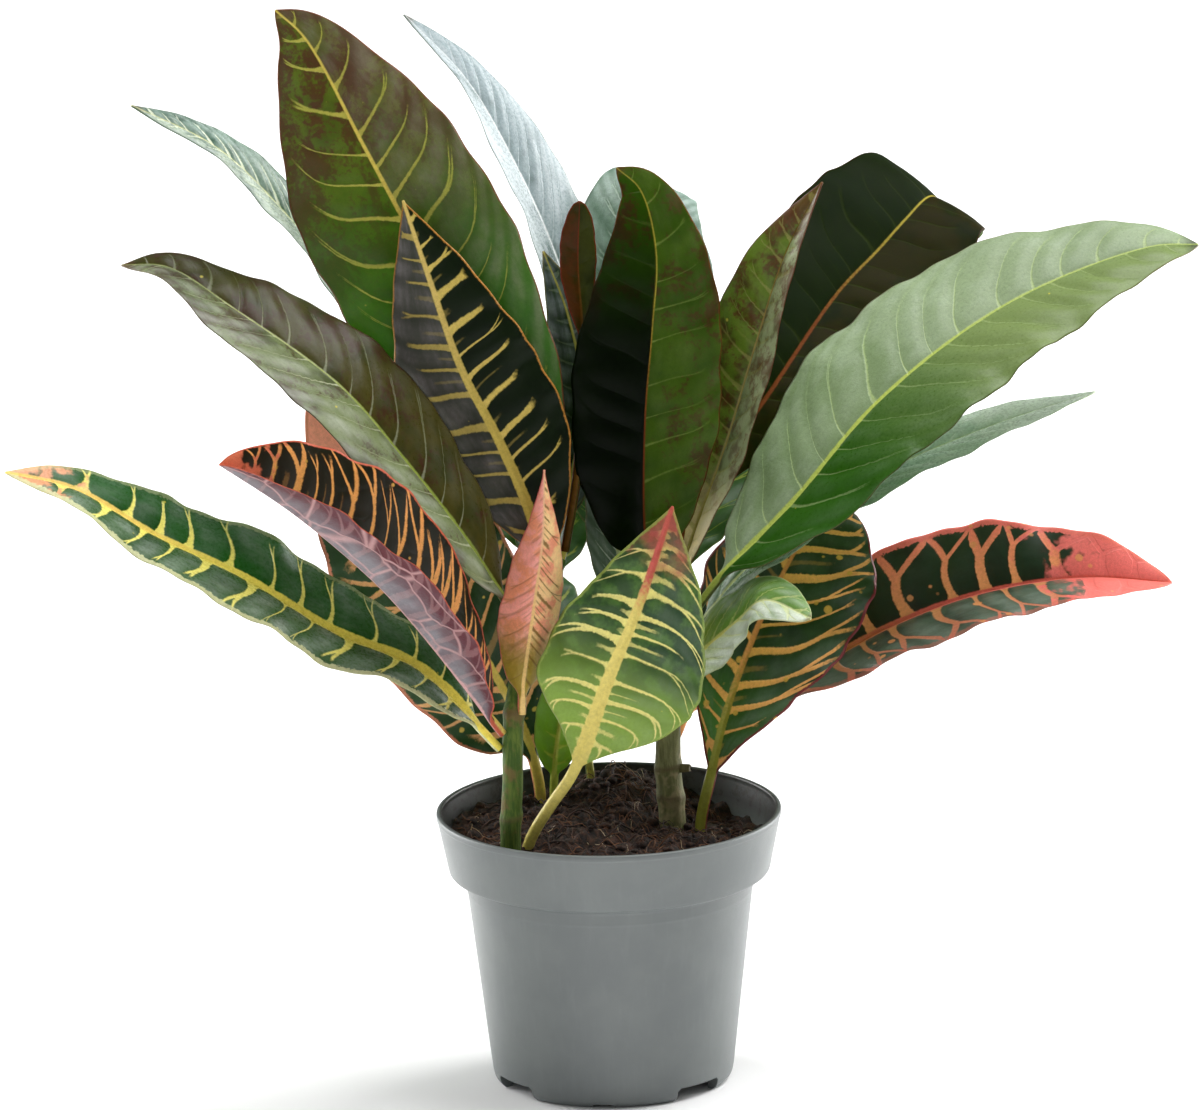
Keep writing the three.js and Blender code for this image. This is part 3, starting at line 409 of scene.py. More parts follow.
        rib=((196, 204, 150), (190, 206, 190)), film=(190, 202, 194), film_share=0.3,
    ),
    inner_glossy=dict(
        left=(20, 32, 24), right=(26, 38, 28), second=(12, 20, 14), vein=(150, 168, 160),
        vein_strength=0.25, spacing=9, film=(200, 212, 212), film_share=(0.2, 0.15), rough=0.18,
        shine=0.3,
    ),
    rear_left_high=dict(left=(44, 84, 26), right=(50, 90, 30), spacing=10),
    rear_left_middle=dict(
        left=(46, 86, 34), right=(38, 78, 30), vein=(226, 206, 90), spacing=10.5, width=1.1,
    ),
    rear_right_low=dict(
        left=(34, 66, 30), right=(36, 70, 28), vein=(230, 164, 84), spacing=10, width=1.1, fork=0.9,
        edge=(190, 90, 70), edge_strength=0.9, spots=0.8,
    ),
    rear_middle=dict(left=(50, 90, 32), right=(54, 94, 32), spacing=12, puff=1.2),
    rear_right_middle=dict(left=(38, 76, 28), right=(44, 82, 28), vein=(230, 208, 92), width=1.1),
    rear_right_high=dict(left=(60, 98, 36), right=(54, 90, 32), spacing=13, puff=1.3),
)


# Node helpers.


def operator(operation, flip=False):
    """A method of Value that adds a Math node."""

    def method(self, other=0.0):
        first, second = (other, self) if flip else (self, other)
        return self.skin.maths(operation, first, second)

    return method


class Value:
    """One output of a material's nodes. Sums and products of values add Math nodes."""

    def __init__(self, skin, socket):
        self.skin = skin
        self.socket = socket

    __add__ = __radd__ = operator("ADD")
    __sub__ = operator("SUBTRACT")
    __rsub__ = operator("SUBTRACT", flip=True)
    __mul__ = __rmul__ = operator("MULTIPLY")
    __truediv__ = operator("DIVIDE")
    __pow__ = operator("POWER")
    __gt__ = operator("GREATER_THAN")
    __abs__ = operator("ABSOLUTE")


def paint(red, green, blue):
    """A colour given from 0 to 255, as the shader wants it."""
    return tuple(pow(part / 255, 2.2) for part in (red, green, blue)) + (1.0,)


def grey(light):
    return (light, light, light, 1.0)


class Skin:
    """A material and the nodes that it is made of."""

    def __init__(self, name):
        self.material = bpy.data.materials.new(name)
        self.material.use_nodes = True
        self.tree = self.material.node_tree
        self.tree.nodes.clear()

    def add(self, kind, settings=(), out=0, **wires):
        """A node: its settings first, then the values or links of its sockets. A socket goes by
        its name, or by its number as i0."""
        node = self.tree.nodes.new("ShaderNode" + kind)
        for key, value in dict(settings).items():
            setattr(node, key, value)
        for key, value in wires.items():
            socket = node.inputs[int(key[1:]) if key[1:].isdigit() else key.replace("_", " ")]
            if isinstance(value, Value):
                self.tree.links.new(value.socket, socket)
            else:
                socket.default_value = value
        return Value(self, node.outputs[out]) if node.outputs else None

    def maths(self, operation, first, second):
        return self.add("Math", {"operation": operation}, i0=first, i1=second)

    def clip(self, value):
        return self.add("Clamp", Value=value)

    def soft(self, value, low, high):
        """0 below low and 1 above high, with a smooth step between."""
        smooth = {"interpolation_type": "SMOOTHSTEP"}
        return self.add("MapRange", smooth, i0=value, i1=low, i2=high)

    def blend(self, share, first, second, way="MIX"):
        kind = {"data_type": "RGBA", "blend_type": way}
        return self.add("Mix", kind, out=2, i0=share, i6=first, i7=second)

    def coats(self, shade, *coats):
        """The shade under coats of paint, each laid on where its share says."""
        for share, colour in coats:
            shade = self.blend(share, shade, paint(*colour))
        return shade

    def point(self, x, y, z):
        return self.add("CombineXYZ", X=x, Y=y, Z=z)

    def parts(self, vector):
        first = self.add("SeparateXYZ", Vector=vector)
        return [Value(self, output) for output in first.socket.node.outputs]

    def read(self, attribute):
        """The three numbers of an attribute of the mesh."""
        named = {"attribute_name": attribute}
        return self.parts(self.add("Attribute", named, out="Vector"))

    def spot(self):
        """The place in millimetres, seen from the pot's axis."""
        position = self.add("NewGeometry", out="Position")
        return self.add(
            "VectorMath", {"operation": "MULTIPLY_ADD"}, i0=position, i1=(1 / MM,) * 3,
            i2=tuple(SPREAD_MIDDLE),
        )

    def grain(self, where, scale, detail=2.0, rough=0.5, twist=0.0):
        return self.add(
            "TexNoise", Vector=where, Scale=scale, Detail=detail, Roughness=rough, Distortion=twist
        )

    def chance(self, x, y, z):
        """Three even random values for a cell."""
        return self.parts(self.add("TexWhiteNoise", out="Color", Vector=self.point(x, y, z)))

    def gloss(self, shade, rough, bump, **more):
        """A shader whose surface stands out by bump: its strength, depth in metres and height."""
        strength, depth, height = bump
        normal = self.add("Bump", Strength=strength, Distance=depth, Height=height)
        return self.add("BsdfPrincipled", Base_Color=shade, Roughness=rough, Normal=normal, **more)

    def surface(self, shader):
        self.add("OutputMaterial", Surface=shader)
        return self.material


# Mesh helpers.


class Curve:
    """A smooth line through points, read by its length as the solids are."""

    STEPS = 200

    def __init__(self, points):
        self.points = [np.array(point, float) for point in points]
        self.turns = np.linspace(0, 1, self.STEPS + 1)
        table = np.array([self.spot(turn) for turn in self.turns])
        steps = np.linalg.norm(np.diff(table, axis=0), axis=1)
        self.reached = np.concatenate([[0], np.cumsum(steps)])
        self.length = self.reached[-1]

    def spot(self, turn):
        last = len(self.points) - 1
        place = last * turn
        i = min(int(place), last - 1)
        part = place - i
        p1, p2 = self.points[i], self.points[i + 1]
        p0 = self.points[i - 1] if i > 0 else 2 * p1 - p2
        p3 = self.points[i + 2] if i + 2 <= last else 2 * p2 - p1
        d0, d1, d2 = (
            max(float(np.dot(b - a, b - a)) ** 0.25, TINY) for a, b in ((p0, p1), (p1, p2), (p2, p3))
        )
        t1 = ((p1 - p0) / d0 - (p2 - p0) / (d0 + d1) + (p2 - p1) / d1) * d1
        t2 = ((p2 - p1) / d1 - (p3 - p1) / (d1 + d2) + (p3 - p2) / d2) * d1
        rise = -3 * p1 + 3 * p2 - 2 * t1 - t2
        bend = 2 * p1 - 2 * p2 + t1 + t2
        return p1 + part * (t1 + part * (rise + part * bend))

    def turn(self, share):
        return float(np.interp(share * self.length, self.reached, self.turns))

    def at(self, share):
        return self.spot(self.turn(share))

    def way(self, share):
        turn = self.turn(share)
        return unit(self.spot(min(turn + TINY, 1)) - self.spot(max(turn - TINY, 0)))


def unit(vector):
    return vector / np.linalg.norm(vector)


def along(values, share):
    return float(np.interp(share * (len(values) - 1), range(len(values)), values))


def ease(value, low, high):
    part = min(max((value - low) / (high - low), 0), 1)
    return part * part * (3 - 2 * part)


def both(value):
    """The numbers of the left and the right half, from a pair or from one number for both."""
    return np.broadcast_to(value, 2).tolist()


def angles(sides):
    return [tau * j / sides for j in range(sides)]


def spoke(side, up, angle):
    """The way out from a rod's middle at an angle."""
    return side * cos(angle) + up * sin(angle)


def level_ring(radius, height, sides):
    """Points round the pot's axis."""
    turns = angles(sides)
    return [np.array((radius * cos(turn), radius * sin(turn), height)) for turn in turns]


def put(name, data):
    """A new object in the scene."""
    thing = bpy.data.objects.new(name, data)
    bpy.context.scene.collection.objects.link(thing)
    return thing


def new_piece(name, points, faces, skin):
    mesh = bpy.data.meshes.new(name)
    mesh.from_pydata([tuple((point - SPREAD_MIDDLE) * MM) for point in points], [], faces)
    mesh.materials.append(skin)
    mesh.update()
    mesh.polygons.foreach_set("use_smooth", [True] * len(mesh.polygons))
    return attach(put(name, mesh), "root")


def stand_for(piece, node):
    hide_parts(node)


def write_mark(mesh, name, domain, rows):
    """Three numbers for each point or corner, which the material reads."""
    mark = mesh.attributes.new(name, "FLOAT_VECTOR", domain)
    mark.data.foreach_set("vector", [part for row in rows for part in row])


def tube_faces(rings, count, start=0):
    """Faces of a closed tube of rings, with both ends capped."""
    faces = []
    for ring in range(rings - 1):
        for i in range(count):
            j = (i + 1) % count
            a, b = start + ring * count, start + (ring + 1) * count
            faces.append((a + i, a + j, b + j, b + i))
    faces.append(tuple(start + i for i in reversed(range(count))))
    faces.append(tuple(start + (rings - 1) * count + i for i in range(count)))
    return faces


# Leaves.

# How far across a half the columns of points stand, and how they go round the blade: over the
# upper side and back along the underside.
COLUMNS = [0.03, 0.07, 0.13, 0.21, 0.3, 0.39, 0.48, 0.57, 0.66, 0.75, 0.84, 0.92, 0.97, 1]
OVER = [-s for s in reversed(COLUMNS)] + [0] + COLUMNS
ROUND = OVER + OVER[-2:0:-1]
STATION, STALK_STATION = 1.4, 3  # from ring to ring
FEWEST_RINGS, MOST_RINGS, FEWEST_STALK_RINGS = 50, 150, 4
TIP_HALF_WIDTH = 0.4
HALF_THICKNESS = 0.3
RIB_DEPTH, RIB_HALF_WIDTH = 0.9, 1.1  # where the midrib stands out underneath
GROOVE_DEPTH, GROOVE_HALF_WIDTH = 0.35, 1.3  # and sinks in above
OPEN_BY = 0.07  # the share of the blade over which the round stalk opens into it
HALF_SHIFT = 0.45  # how far the right half's veins are shifted against the left half's
BROAD_RAGS, FINE_RAGS = (0.02, 23), (0.012, 57)  # size and rate of the rags of the edge
EDGE_CRINKLE, CRINKLE_RATE = 0.3, 2.7  # the short waves of the edge, against the long ones
BROAD_WANDER, FINE_WANDER = (0.16, 1.7), (0.08, 0.25)  # how the side veins stray
STALK_LEAVES_STEM = (1, 1, 0.3)  # nearly level
HALVINGS = 30


def stem_at(stem, height):
    """The middle and the radius of a stem at a height."""
    curve = STEM_CURVES[stem]
    low, high = 0.0, 1.0
    for _ in range(HALVINGS):
        middle = (low + high) / 2
        if curve.at(middle)[2] < height:
            low = middle
        else:
            high = middle
    return curve.at(low), along(STEMS[stem].radii, low)


def rib_curve(leaf):
    """The line of the stalk and the midrib, from just outside the stem."""
    points = [np.array(point, float) for point in leaf.rib]
    if leaf.stem != "soil":
        centre, radius = stem_at(leaf.stem, leaf.height)
        out = (points[0] - centre) * STALK_LEAVES_STEM
        points.insert(0, centre + unit(out) * (radius + GAP + leaf.stout * 0.5))
    return Curve(points)


def taper(shape, t):
    """How wide a blade is at a share of its length, as a share of its greatest width."""
    base, tip = shape[:2]
    belly = shape[2] if len(shape) > 2 else base / (base + tip)
    if t < belly:
        return sin(pi / 2 * t / belly) ** base
    return max(cos(pi / 2 * (t - belly) / (1 - belly)), 0) ** tip


class LeafForm:
    """The stalk and the blade on the same lines as the solid, with the forms that veins give
    the blade: quilting between them, a groove on the midrib and a ragged wave on the edge."""

    def __init__(self, name, leaf, look):
        draw = random.Random(name)
        self.shifts = [draw.uniform(0, 6) for _ in range(7)]
        self.leaf, self.look = leaf, look
        self.half, self.fold, self.curl = map(both, (leaf.half, leaf.fold, leaf.curl))
        self.faces = np.broadcast_to(leaf.face, (2, 3))
        self.curve = rib_curve(leaf)
        self.start = leaf.stalk / self.curve.length
        self.points, self.place, self.growth = [], [], []
        below = max(FEWEST_STALK_RINGS, round(leaf.stalk / STALK_STATION))
        wanted = (self.curve.length - leaf.stalk) / STATION
        rings = int(min(max(wanted, FEWEST_RINGS), MOST_RINGS))
        self.shares = [self.start * i / below for i in range(below)]
        self.shares += [self.start + (1 - self.start) * i / rings for i in range(rings + 1)]
        for share in self.shares:
            self.add_ring(share)

    def half_width(self, hand, t, full):
        """How far one half reaches, with its ragged edge."""
        rags = 1
        for (size, rate), shift in zip((BROAD_RAGS, FINE_RAGS), (self.shifts[hand], self.shifts[2])):
            rags += size * sin(t * rate + shift)
        least = self.leaf.stout if t < 0.5 else TIP_HALF_WIDTH
        return max(full * self.half[hand] * rags, least)

    def vein_order(self, run, reach, size):
        """A whole number on each side vein, and a half midway between two."""
        look, shifts = self.look, self.shifts
        lean = look.lean * reach + look.bow * reach * size * size
        order = (run - lean) / look.spacing
        strays = BROAD_WANDER[0] * sin(order * BROAD_WANDER[1] + shifts[5])
        return order + strays + FINE_WANDER[0] * sin(reach * FINE_WANDER[1] + shifts[6])

    def ripple(self, hand, size, t, full):
        """The long and the short waves of the edge."""
        height, waves, phase = self.leaf.wave
        long = size**2 * sin(tau * (waves * t + phase + hand / 2))
        short = size**4 * sin(tau * CRINKLE_RATE * waves * t + self.shifts[3 + hand]) * EDGE_CRINKLE
        return height * full * (long + short)

    def swell(self, hand, size, reach, t, full, order):
        """The quilting between the veins, less the groove along the midrib."""
        between = abs(sin(pi * (order + HALF_SHIFT * hand)))
        puff = self.look.puff * between**0.6 * sin(pi * size**0.8) * min(full * 1.5, 1)
        return puff - GROOVE_DEPTH * (1 - t) * exp(-((reach / GROOVE_HALF_WIDTH) ** 2))

    def add_ring(self, share):
        t = max((share - self.start) / (1 - self.start), 0)
        centre, way = self.curve.at(share), self.curve.way(share)
        face = self.faces[0] * (1 - t) + self.faces[1] * t
        up = unit(face - way * np.dot(face, way))
        side = np.cross(up, way)
        full = taper(self.leaf.shape, t)
        open_out = ease(t, 0.0, OPEN_BY)
        run = (share - self.start) * self.curve.length
        for number, (s, angle) in enumerate(zip(ROUND, angles(len(ROUND)))):
            hand, size = int(s >= 0), abs(s)
            width = self.half_width(hand, t, full)
            reach = size * width
            order = self.vein_order(run, reach, size)
            rise = self.ripple(hand, size, t, full)
            rise += self.swell(hand, size, reach, t, full, order) * open_out
            bend = (self.fold[hand] + self.curl[hand] * size / 2) * DEG
            outward = -side if hand else side
            spot = centre + outward * (reach * cos(bend)) + up * (reach * sin(bend) + rise)
            thick = HALF_THICKNESS * sqrt(max(1 - size**10, 0))
            if number >= len(OVER):
                thick = -thick - RIB_DEPTH * (1 - t) * exp(-((reach / RIB_HALF_WIDTH) ** 2))
            spot = spot + (up * cos(bend) - outward * sin(bend)) * thick
            rod = centre + spoke(side, up, angle) * self.leaf.stout
            self.points.append(rod * (1 - open_out) + spot * open_out)
            self.place.append((run, reach if hand else -reach, (1 - size) * width))
            self.growth.append((t, order))

    def mark_corners(self, mesh):
        """Each corner's place on the blade and its growth, and the chart for baking, with the
        upper side on its left."""
        count = len(ROUND)
        places, growths, spots = [], [], []
        for polygon in mesh.polygons:
            corners = [mesh.loops[i].vertex_index for i in polygon.loop_indices]
            numbers = [corner % count for corner in corners]
            crosses = 0 in numbers and count - 1 in numbers
            under = len(corners) == 4 and (max(numbers) >= len(OVER) or crosses)
            for corner, number in zip(corners, numbers):
                places.append(self.place[corner])
                growths.append((*self.growth[corner], float(under)))
                spots.append(0.25 + 0.23 * ROUND[number] + 0.5 * under)
                spots.append(0.01 + 0.98 * self.shares[corner // count])
        write_mark(mesh, "place", "CORNER", places)
        write_mark(mesh, "growth", "CORNER", growths)
        mesh.uv_layers.new(name="OFBake").data.foreach_set("uv", spots)


def make_leaf(name, leaf, look):
    form = LeafForm(name, leaf, look)
    faces = tube_faces(len(form.shares), len(ROUND))
    piece = new_piece(name, form.points, faces, LeafSkin(name, look).whole())
    form.mark_corners(piece.data)
    stand_for(piece, name)


class LeafSkin(Skin):
    """The colours of a leaf: its ground in two halves with mottle, side veins that fork and
    fade, the midrib, the coloured edge and tip, small spots, a pale painted sheen, painted shade
    towards the foot on some leaves, and the paler underside."""

    WOBBLY_TIP = 0.96  # a tip colour that begins further out has an even border
    SIDES_APART = 40.0  # keeps the grain of the upper side from showing underneath
    SPOT_CELLS = 0.16
    # The colour of the painted shade towards the foot of a blade.
    DUSK = (9, 14, 6)
    NET_PALE, NET_WINE, NET_DUSK = (130, 127, 132), (84, 26, 40), (92, 62, 70)

    def __init__(self, name, look):
        super().__init__(name.replace("leaf_", "skin_of_"))
        self.look = look
        self.seed = float(sum(map(ord, name)) % 97)
        self.run, self.reach, self.edge = self.read("place")
        self.t, phase, self.under = self.read("growth")
        self.away = abs(self.reach)
        self.share = self.away / (self.away + self.edge + 0.02)
        self.right = self.reach > 0.0
        self.order = phase + self.right * HALF_SHIFT
        self.flat = self.point(self.run, self.reach, self.under * self.SIDES_APART + self.seed)
        self.broad = self.grain(self.flat, 1.0 / look.mottle_size, 3.0, 0.6)
        self.fine = self.grain(self.flat, 0.9)
        self.tiny = self.grain(self.flat, 3.5, 1.0)
        self.waver = self.fine - 0.5

    def halves(self, pair):
        """One number on the left half and another on the right half."""
        left, right = both(pair)
        return left if left == right else left + self.right * (right - left)

    def ground(self):
        """The colours between the veins, with mottle, reddish clouds and a greener foot."""
        look, fine = self.look, self.fine
        patches = self.soft(self.broad + fine * 0.12, 0.5, 0.72) * look.mottle * 1.6
        shade = self.coats(paint(*look.left), (self.right, look.right), (patches, look.second))
        if look.blush_share:
            place = self.point(self.run * 0.8, self.reach, self.seed + 9.0)
            cloud = self.grain(place, 0.075, 5.0, 0.75, 0.4) + fine * 0.35
            low = 0.82 - 0.35 * look.blush_share
            patch = self.soft(cloud + self.share * 0.06 + self.t * 0.1, low, low + 0.14)
            shade = self.coats(shade, (patch * 0.85, look.blush))
        if look.foot_to:
            near = 1.0 - self.soft(self.t + fine * 0.08, look.foot_to * 0.4, look.foot_to)
            shade = self.coats(shade, (near * self.halves(look.foot_share), look.foot))
        return shade

    def with_painted_sheen(self, shade):
        """The shade under a pale painted sheen: a painted reflection, strongest on the crowns of the
        quilting.
        """
        if not any(both(self.look.film_share)):
            return shade
        streaks = self.grain(self.point(self.run * 0.05, self.share * 3.0, self.seed), 1.0, 4.0, 0.6)
        crown = self.soft(abs(self.order - self.maths("ROUND", self.order, 0.0)), 0.06, 0.4)
        sheen = self.soft(streaks, 0.35, 0.75) * 0.8 + self.share * 0.5
        sheen = self.clip(sheen * (0.45 + 0.75 * crown) * self.halves(self.look.film_share) * 1.2)
        return self.coats(shade, (sheen, self.look.film))

    def side_veins(self, offset, width, lengths, fork, salt):
        """How much the side veins cover: each has its own width, length and fork."""
        look = self.look
        order = self.order + offset
        cell = self.maths("ROUND", order, 0.0)
        first, second, third = self.chance(cell, self.right * 7.0 + salt, self.seed)
        off = abs(order - cell) * look.spacing * 0.85
        split = self.maths("MAXIMUM", self.share - (look.fork_from + third * 0.3), 0.0)
        off = abs(off - split * (fork * look.spacing))
        wide = width * (0.5 + first) * (1.0 - self.share * look.taper)
        wide = wide + look.flare * self.maths("MAXIMUM", 1.0 - self.away * 0.22, 0.0) ** 2.0
        ragged = (self.waver * 0.9 + (self.tiny - 0.5) * 0.5) * look.ragged
        line = self.clip((wide - off + ragged * wide) * 2.6 + 0.3)
        reached = lengths[0] + second * (lengths[1] - lengths[0])
        return line * self.clip((reached - self.share + self.waver * 0.15) * 9.0)

    def veins(self):
        look = self.look
        veins = self.side_veins(0.0, look.width, look.length, look.fork, 1.0)
        if not look.stubs:
            return veins
        short = self.side_veins(0.5, look.width * 0.6, (0.0, 0.55), 0.0, 5.0)
        return self.maths("MAXIMUM", veins, short * look.stubs)

    def dots(self):
        """Small round spots, some larger than others."""
        cells = self.add("TexVoronoi", out="Distance", Vector=self.flat, Scale=self.SPOT_CELLS)
        rare = self.grain(self.flat, 0.12, 0.0)
        size = self.clip((rare - (0.66 - 0.25 * self.look.spots)) * 2.0)
        return self.clip((size * 0.32 - cells + self.waver * 0.06) * 16.0)

    def upper(self, ground, veins, rim, rib):
        look, t = self.look, self.t
        tone = self.coats(paint(*look.vein), (self.share, look.vein_end))
        top = self.blend(veins * self.halves(look.vein_strength), ground, tone)
        border = t
        if look.tip_from < self.WOBBLY_TIP:
            border = t + (self.grain(self.flat, 0.16, 3.0) - 0.5) * 0.34 + veins * 0.05
        tip = self.soft(border, look.tip_from, look.tip_to)
        top = self.coats(top, (tip, look.tip), (rim, look.edge))
        if look.spots:
            top = self.coats(top, (self.dots() * 0.9, look.spot))
        near, far = look.rib
        turn = self.soft(t + self.waver * 0.2, *look.rib_turn)
        top = self.blend(rib, top, self.coats(paint(*near), (turn, far)))
        # Painted shade: the blade turns nearly black towards its foot, where shade falls among the
        # leaves.
        if any(both(look.dusk)):
            painted_shade_mask = 1.0 - self.soft(t + (self.broad - 0.5) * 0.2, look.dusk_to * 0.45, look.dusk_to)
            top = self.coats(top, (painted_shade_mask * self.halves(look.dusk), self.DUSK))
        return top

    def net(self):
        """A fine net of veins."""
        place = self.point(self.run * 0.75, self.reach, self.seed + self.fine * 0.2)
        lines = {"feature": "DISTANCE_TO_EDGE"}
        cells = self.add("TexVoronoi", lines, out="Distance", Vector=place, Scale=0.06)
        return 1.0 - self.soft(cells, 0.0, 0.05)

    def netted_ground(self):
        """A pale underside that turns wine red towards the edge."""
        flush = self.soft(self.share + self.waver * 0.3, 0.2, 0.75)
        # Darker patches of the underside's own colour.
        dusk = self.soft(self.grain(self.flat, 0.07, 3.0), 0.4, 0.65)
        return self.coats(paint(*self.NET_PALE), (flush, self.NET_WINE), (dusk * 0.55, self.NET_DUSK))

    def whole(self):
        """The finished material."""
        look, fine, tiny = self.look, self.fine, self.tiny
        ground, veins = self.with_painted_sheen(self.ground()), self.veins()
        rim = self.clip((look.edge_width * (0.4 + 1.3 * fine) - self.edge) * 2.5 + 0.4)
        rim = rim * self.halves(look.edge_strength)
        wide = look.rib_width * (1.0 - self.t * 0.72) * (0.85 + 0.3 * fine)
        rib = self.clip((wide - self.away) * 2.2 + 0.3)
        top = self.upper(ground, veins, rim, rib)
        if look.under_net:
            below = self.netted_ground()
            veins = self.maths("MAXIMUM", self.net() * 0.8, veins * 0.25)
        else:
            below = self.blend(self.soft(self.broad, 0.4, 0.7) * 0.5, paint(*look.under), ground)
        below = self.coats(below, (self.clip(veins * 0.75 + rib), look.under_vein), (rim, look.edge))
        pores = self.blend(self.soft(tiny * 0.5 + fine * 0.5, 0.3, 0.7), grey(0.84), grey(1.1))
        shade = self.blend(1.0, self.blend(self.under, top, below), pores, "MULTIPLY")
        gloss = self.gloss(
            shade, look.rough + self.waver * 0.16 + self.under * 0.14,
            (0.35, 0.0006, veins * -0.5 + fine * 0.25 + tiny * 0.15), Specular_IOR_Level=look.shine,
        )
        glow = self.add("BsdfTranslucent", Color=look.glow + (1.0,))
        return self.surface(self.add("MixShader", i0=look.glow_share, i1=gloss, i2=glow))


# Stems.

SCAR = (86, 70, 46)
KNOT_SWELL, KNOT_SPREAD, SCAR_SPREAD = 0.5, 2.2, 0.9
BARK_ROUGHNESS = 0.22


def bark_skin(name, ground, second, streak):
    skin = Skin(name)
    spot = skin.spot()
    x, y, z = skin.parts(spot)
    lines = skin.grain(skin.point(x, y, z * 0.12), 0.8, 4.0, 0.65)
    blotch = skin.grain(spot, 0.12, 3.0, 0.6)
    fine = skin.grain(spot, 1.6)
    scars = skin.clip(skin.read("knot")[0] * 0.75 + (fine - 0.5) * 0.4)
    shade = skin.coats(
        paint(*ground), (skin.soft(lines, 0.38, 0.66), second),
        (skin.soft(blotch, 0.52, 0.66) * 0.8, streak), (scars * 0.8, SCAR),
    )
    bump = (0.5, 0.0009, lines * 0.6 + fine * 0.4)
    return skin.surface(skin.gloss(shade, 0.5 + lines * 0.25, bump, Specular_IOR_Level=0.25))


def make_stem(name, key, skin):
    sides, rings = 36, 130
    curve, stem = STEM_CURVES[key], STEMS[key]
    points, scars = [], []
    for i in range(rings + 1):
        t = i / rings
        centre, way = curve.at(t), curve.way(t)
        side = unit(np.cross((0, -1, 0), way))
        up = np.cross(way, side)
        for angle in angles(sides):
            radius, scar = along(stem.radii, t), 0.0
            for knot in stem.knots:
                rise = centre[2] - knot + 0.8 * sin(angle + knot)
                radius += KNOT_SWELL * exp(-((rise / KNOT_SPREAD) ** 2))
                scar = max(scar, exp(-((rise / SCAR_SPREAD) ** 2)))
            out = spoke(side, up, angle)
            spot = centre + out * radius
            rough = noise.fractal(Vector(spot * (0.3, 0.3, 0.06)), 0.8, 2.0, 3)
            points.append(spot + out * rough * BARK_ROUGHNESS)
            scars.append((scar, angle, t))
    faces = tube_faces(rings + 1, sides)
    if STUB.stem == key:
        faces += cut_stub(points, scars)
    piece = new_piece(name, points, faces, skin)
    write_mark(piece.data, "knot", "POINT", scars)
    stand_for(piece, name)


def cut_stub(points, scars):
    """The short end of a cut shoot: a dry rod with a torn end."""
    centre, radius = stem_at(STUB.stem, STUB.height)
    out = np.array((cos(STUB.turn * DEG), sin(STUB.turn * DEG), 0))
    side, up = np.cross((0, 0, 1), out), np.array((0, 0, 1.0))
    start, sides, rings = len(points), 14, 9
    for i in range(rings):
        t = i / (rings - 1)
        for angle in angles(sides):
            wide = STUB.radius * (1.15 - 0.3 * t + 0.12 * sin(3 * angle + 4 * t))
            torn = 0.35 * sin(5 * angle) * t * t
            spot = centre + out * ((radius - 1) + (STUB.length + 1) * t + torn)
            points.append(spot + spoke(side, up, angle) * wide)
            scars.append((0.5 + 0.5 * t, angle, t))
    return tube_faces(rings, sides, start)


# Soil.

CRUMB_CLEAR, FIBRE_CLEAR = 2.2, 3  # from the pot's wall
FIBRE_STATION = 1.3


def inner_radius(height):
    heights = [WALL_FOOT_HEIGHT, SHOULDER_HEIGHT, BAND_FOOT_HEIGHT, POT_HEIGHT]
    radii = [WALL_FOOT_RADIUS, SHOULDER_RADIUS, BAND_FOOT_RADIUS, RIM_RADIUS]
    return float(np.interp(height, heights, radii)) - WALL


def rough_soil(x, y):
    """The height of the soil, with its mounds, lumps and clods."""
    height = SOIL_LEVEL
    for mound_x, mound_y, rise, spread in SOIL_MOUNDS:
        height += rise * exp(-((x - mound_x) ** 2 + (y - mound_y) ** 2) / (2 * spread**2))
    height += SOIL_LUMP * sin(x * 0.33 + 1) * sin(y * 0.29 + 2)
    height += SOIL_LUMP * 0.7 * sin(x * 0.71 - y * 0.53)
    lumps = noise.fractal(Vector((x * 0.16, y * 0.16, 3.0)), 0.7, 2.1, 4)
    clods = noise.noise(Vector((x * 0.55, y * 0.55, 8.0)))
    return height + 1.5 * lumps + 0.7 * clods


def on_soil(x, y, lift=0.0):
    return np.array((x, y, rough_soil(x, y) + lift))


def peat_skin(name, dark, light, rusty):
    skin = Skin(name)
    spot = skin.spot()
    clods = skin.grain(spot, 0.35, 5.0, 0.7)
    fine = skin.grain(spot, 1.8, 3.0, 0.7)
    threads = skin.grain(spot, 0.5, 6.0, 0.8, 2.5)
    shade = skin.coats(
        paint(*dark), (skin.soft(clods, 0.4, 0.7), light), (skin.soft(threads, 0.56, 0.64) * 0.7, rusty)
    )
    bump = (0.9, 0.0016, clods * 0.7 + fine * 0.5)
    return skin.surface(skin.gloss(shade, 0.72 + fine * 0.25, bump))


def make_soil(skin):
    rings, sides = 84, 200
    edge = inner_radius(SOIL_LEVEL) - SOIL_CLEAR
    points = []
    for height in (FLOOR_TOP + SOIL_CLEAR, SHOULDER_HEIGHT, BAND_FOOT_HEIGHT):
        points += level_ring(inner_radius(height) - SOIL_CLEAR, height, sides)
    for i in range(rings, 0, -1):
        points += [on_soil(x, y) for x, y, _ in level_ring(edge * i / rings, 0, sides)]
    stand_for(new_piece("peat", points, tube_faces(3 + rings, sides), skin), "soil")


def is_clear(x, y):
    """Whether a place on the soil is clear of the stems and the stalks."""
    return all(hypot(x - stand_x, y - stand_y) > clear for stand_x, stand_y, clear in STANDS)


def somewhere(draw, edge):
    """An even random place on the soil that is clear."""
    while True:
        turn, radius = draw.uniform(0, tau), edge * sqrt(draw.random())
        x, y = radius * cos(turn), radius * sin(turn)
        if is_clear(x, y):
            return x, y


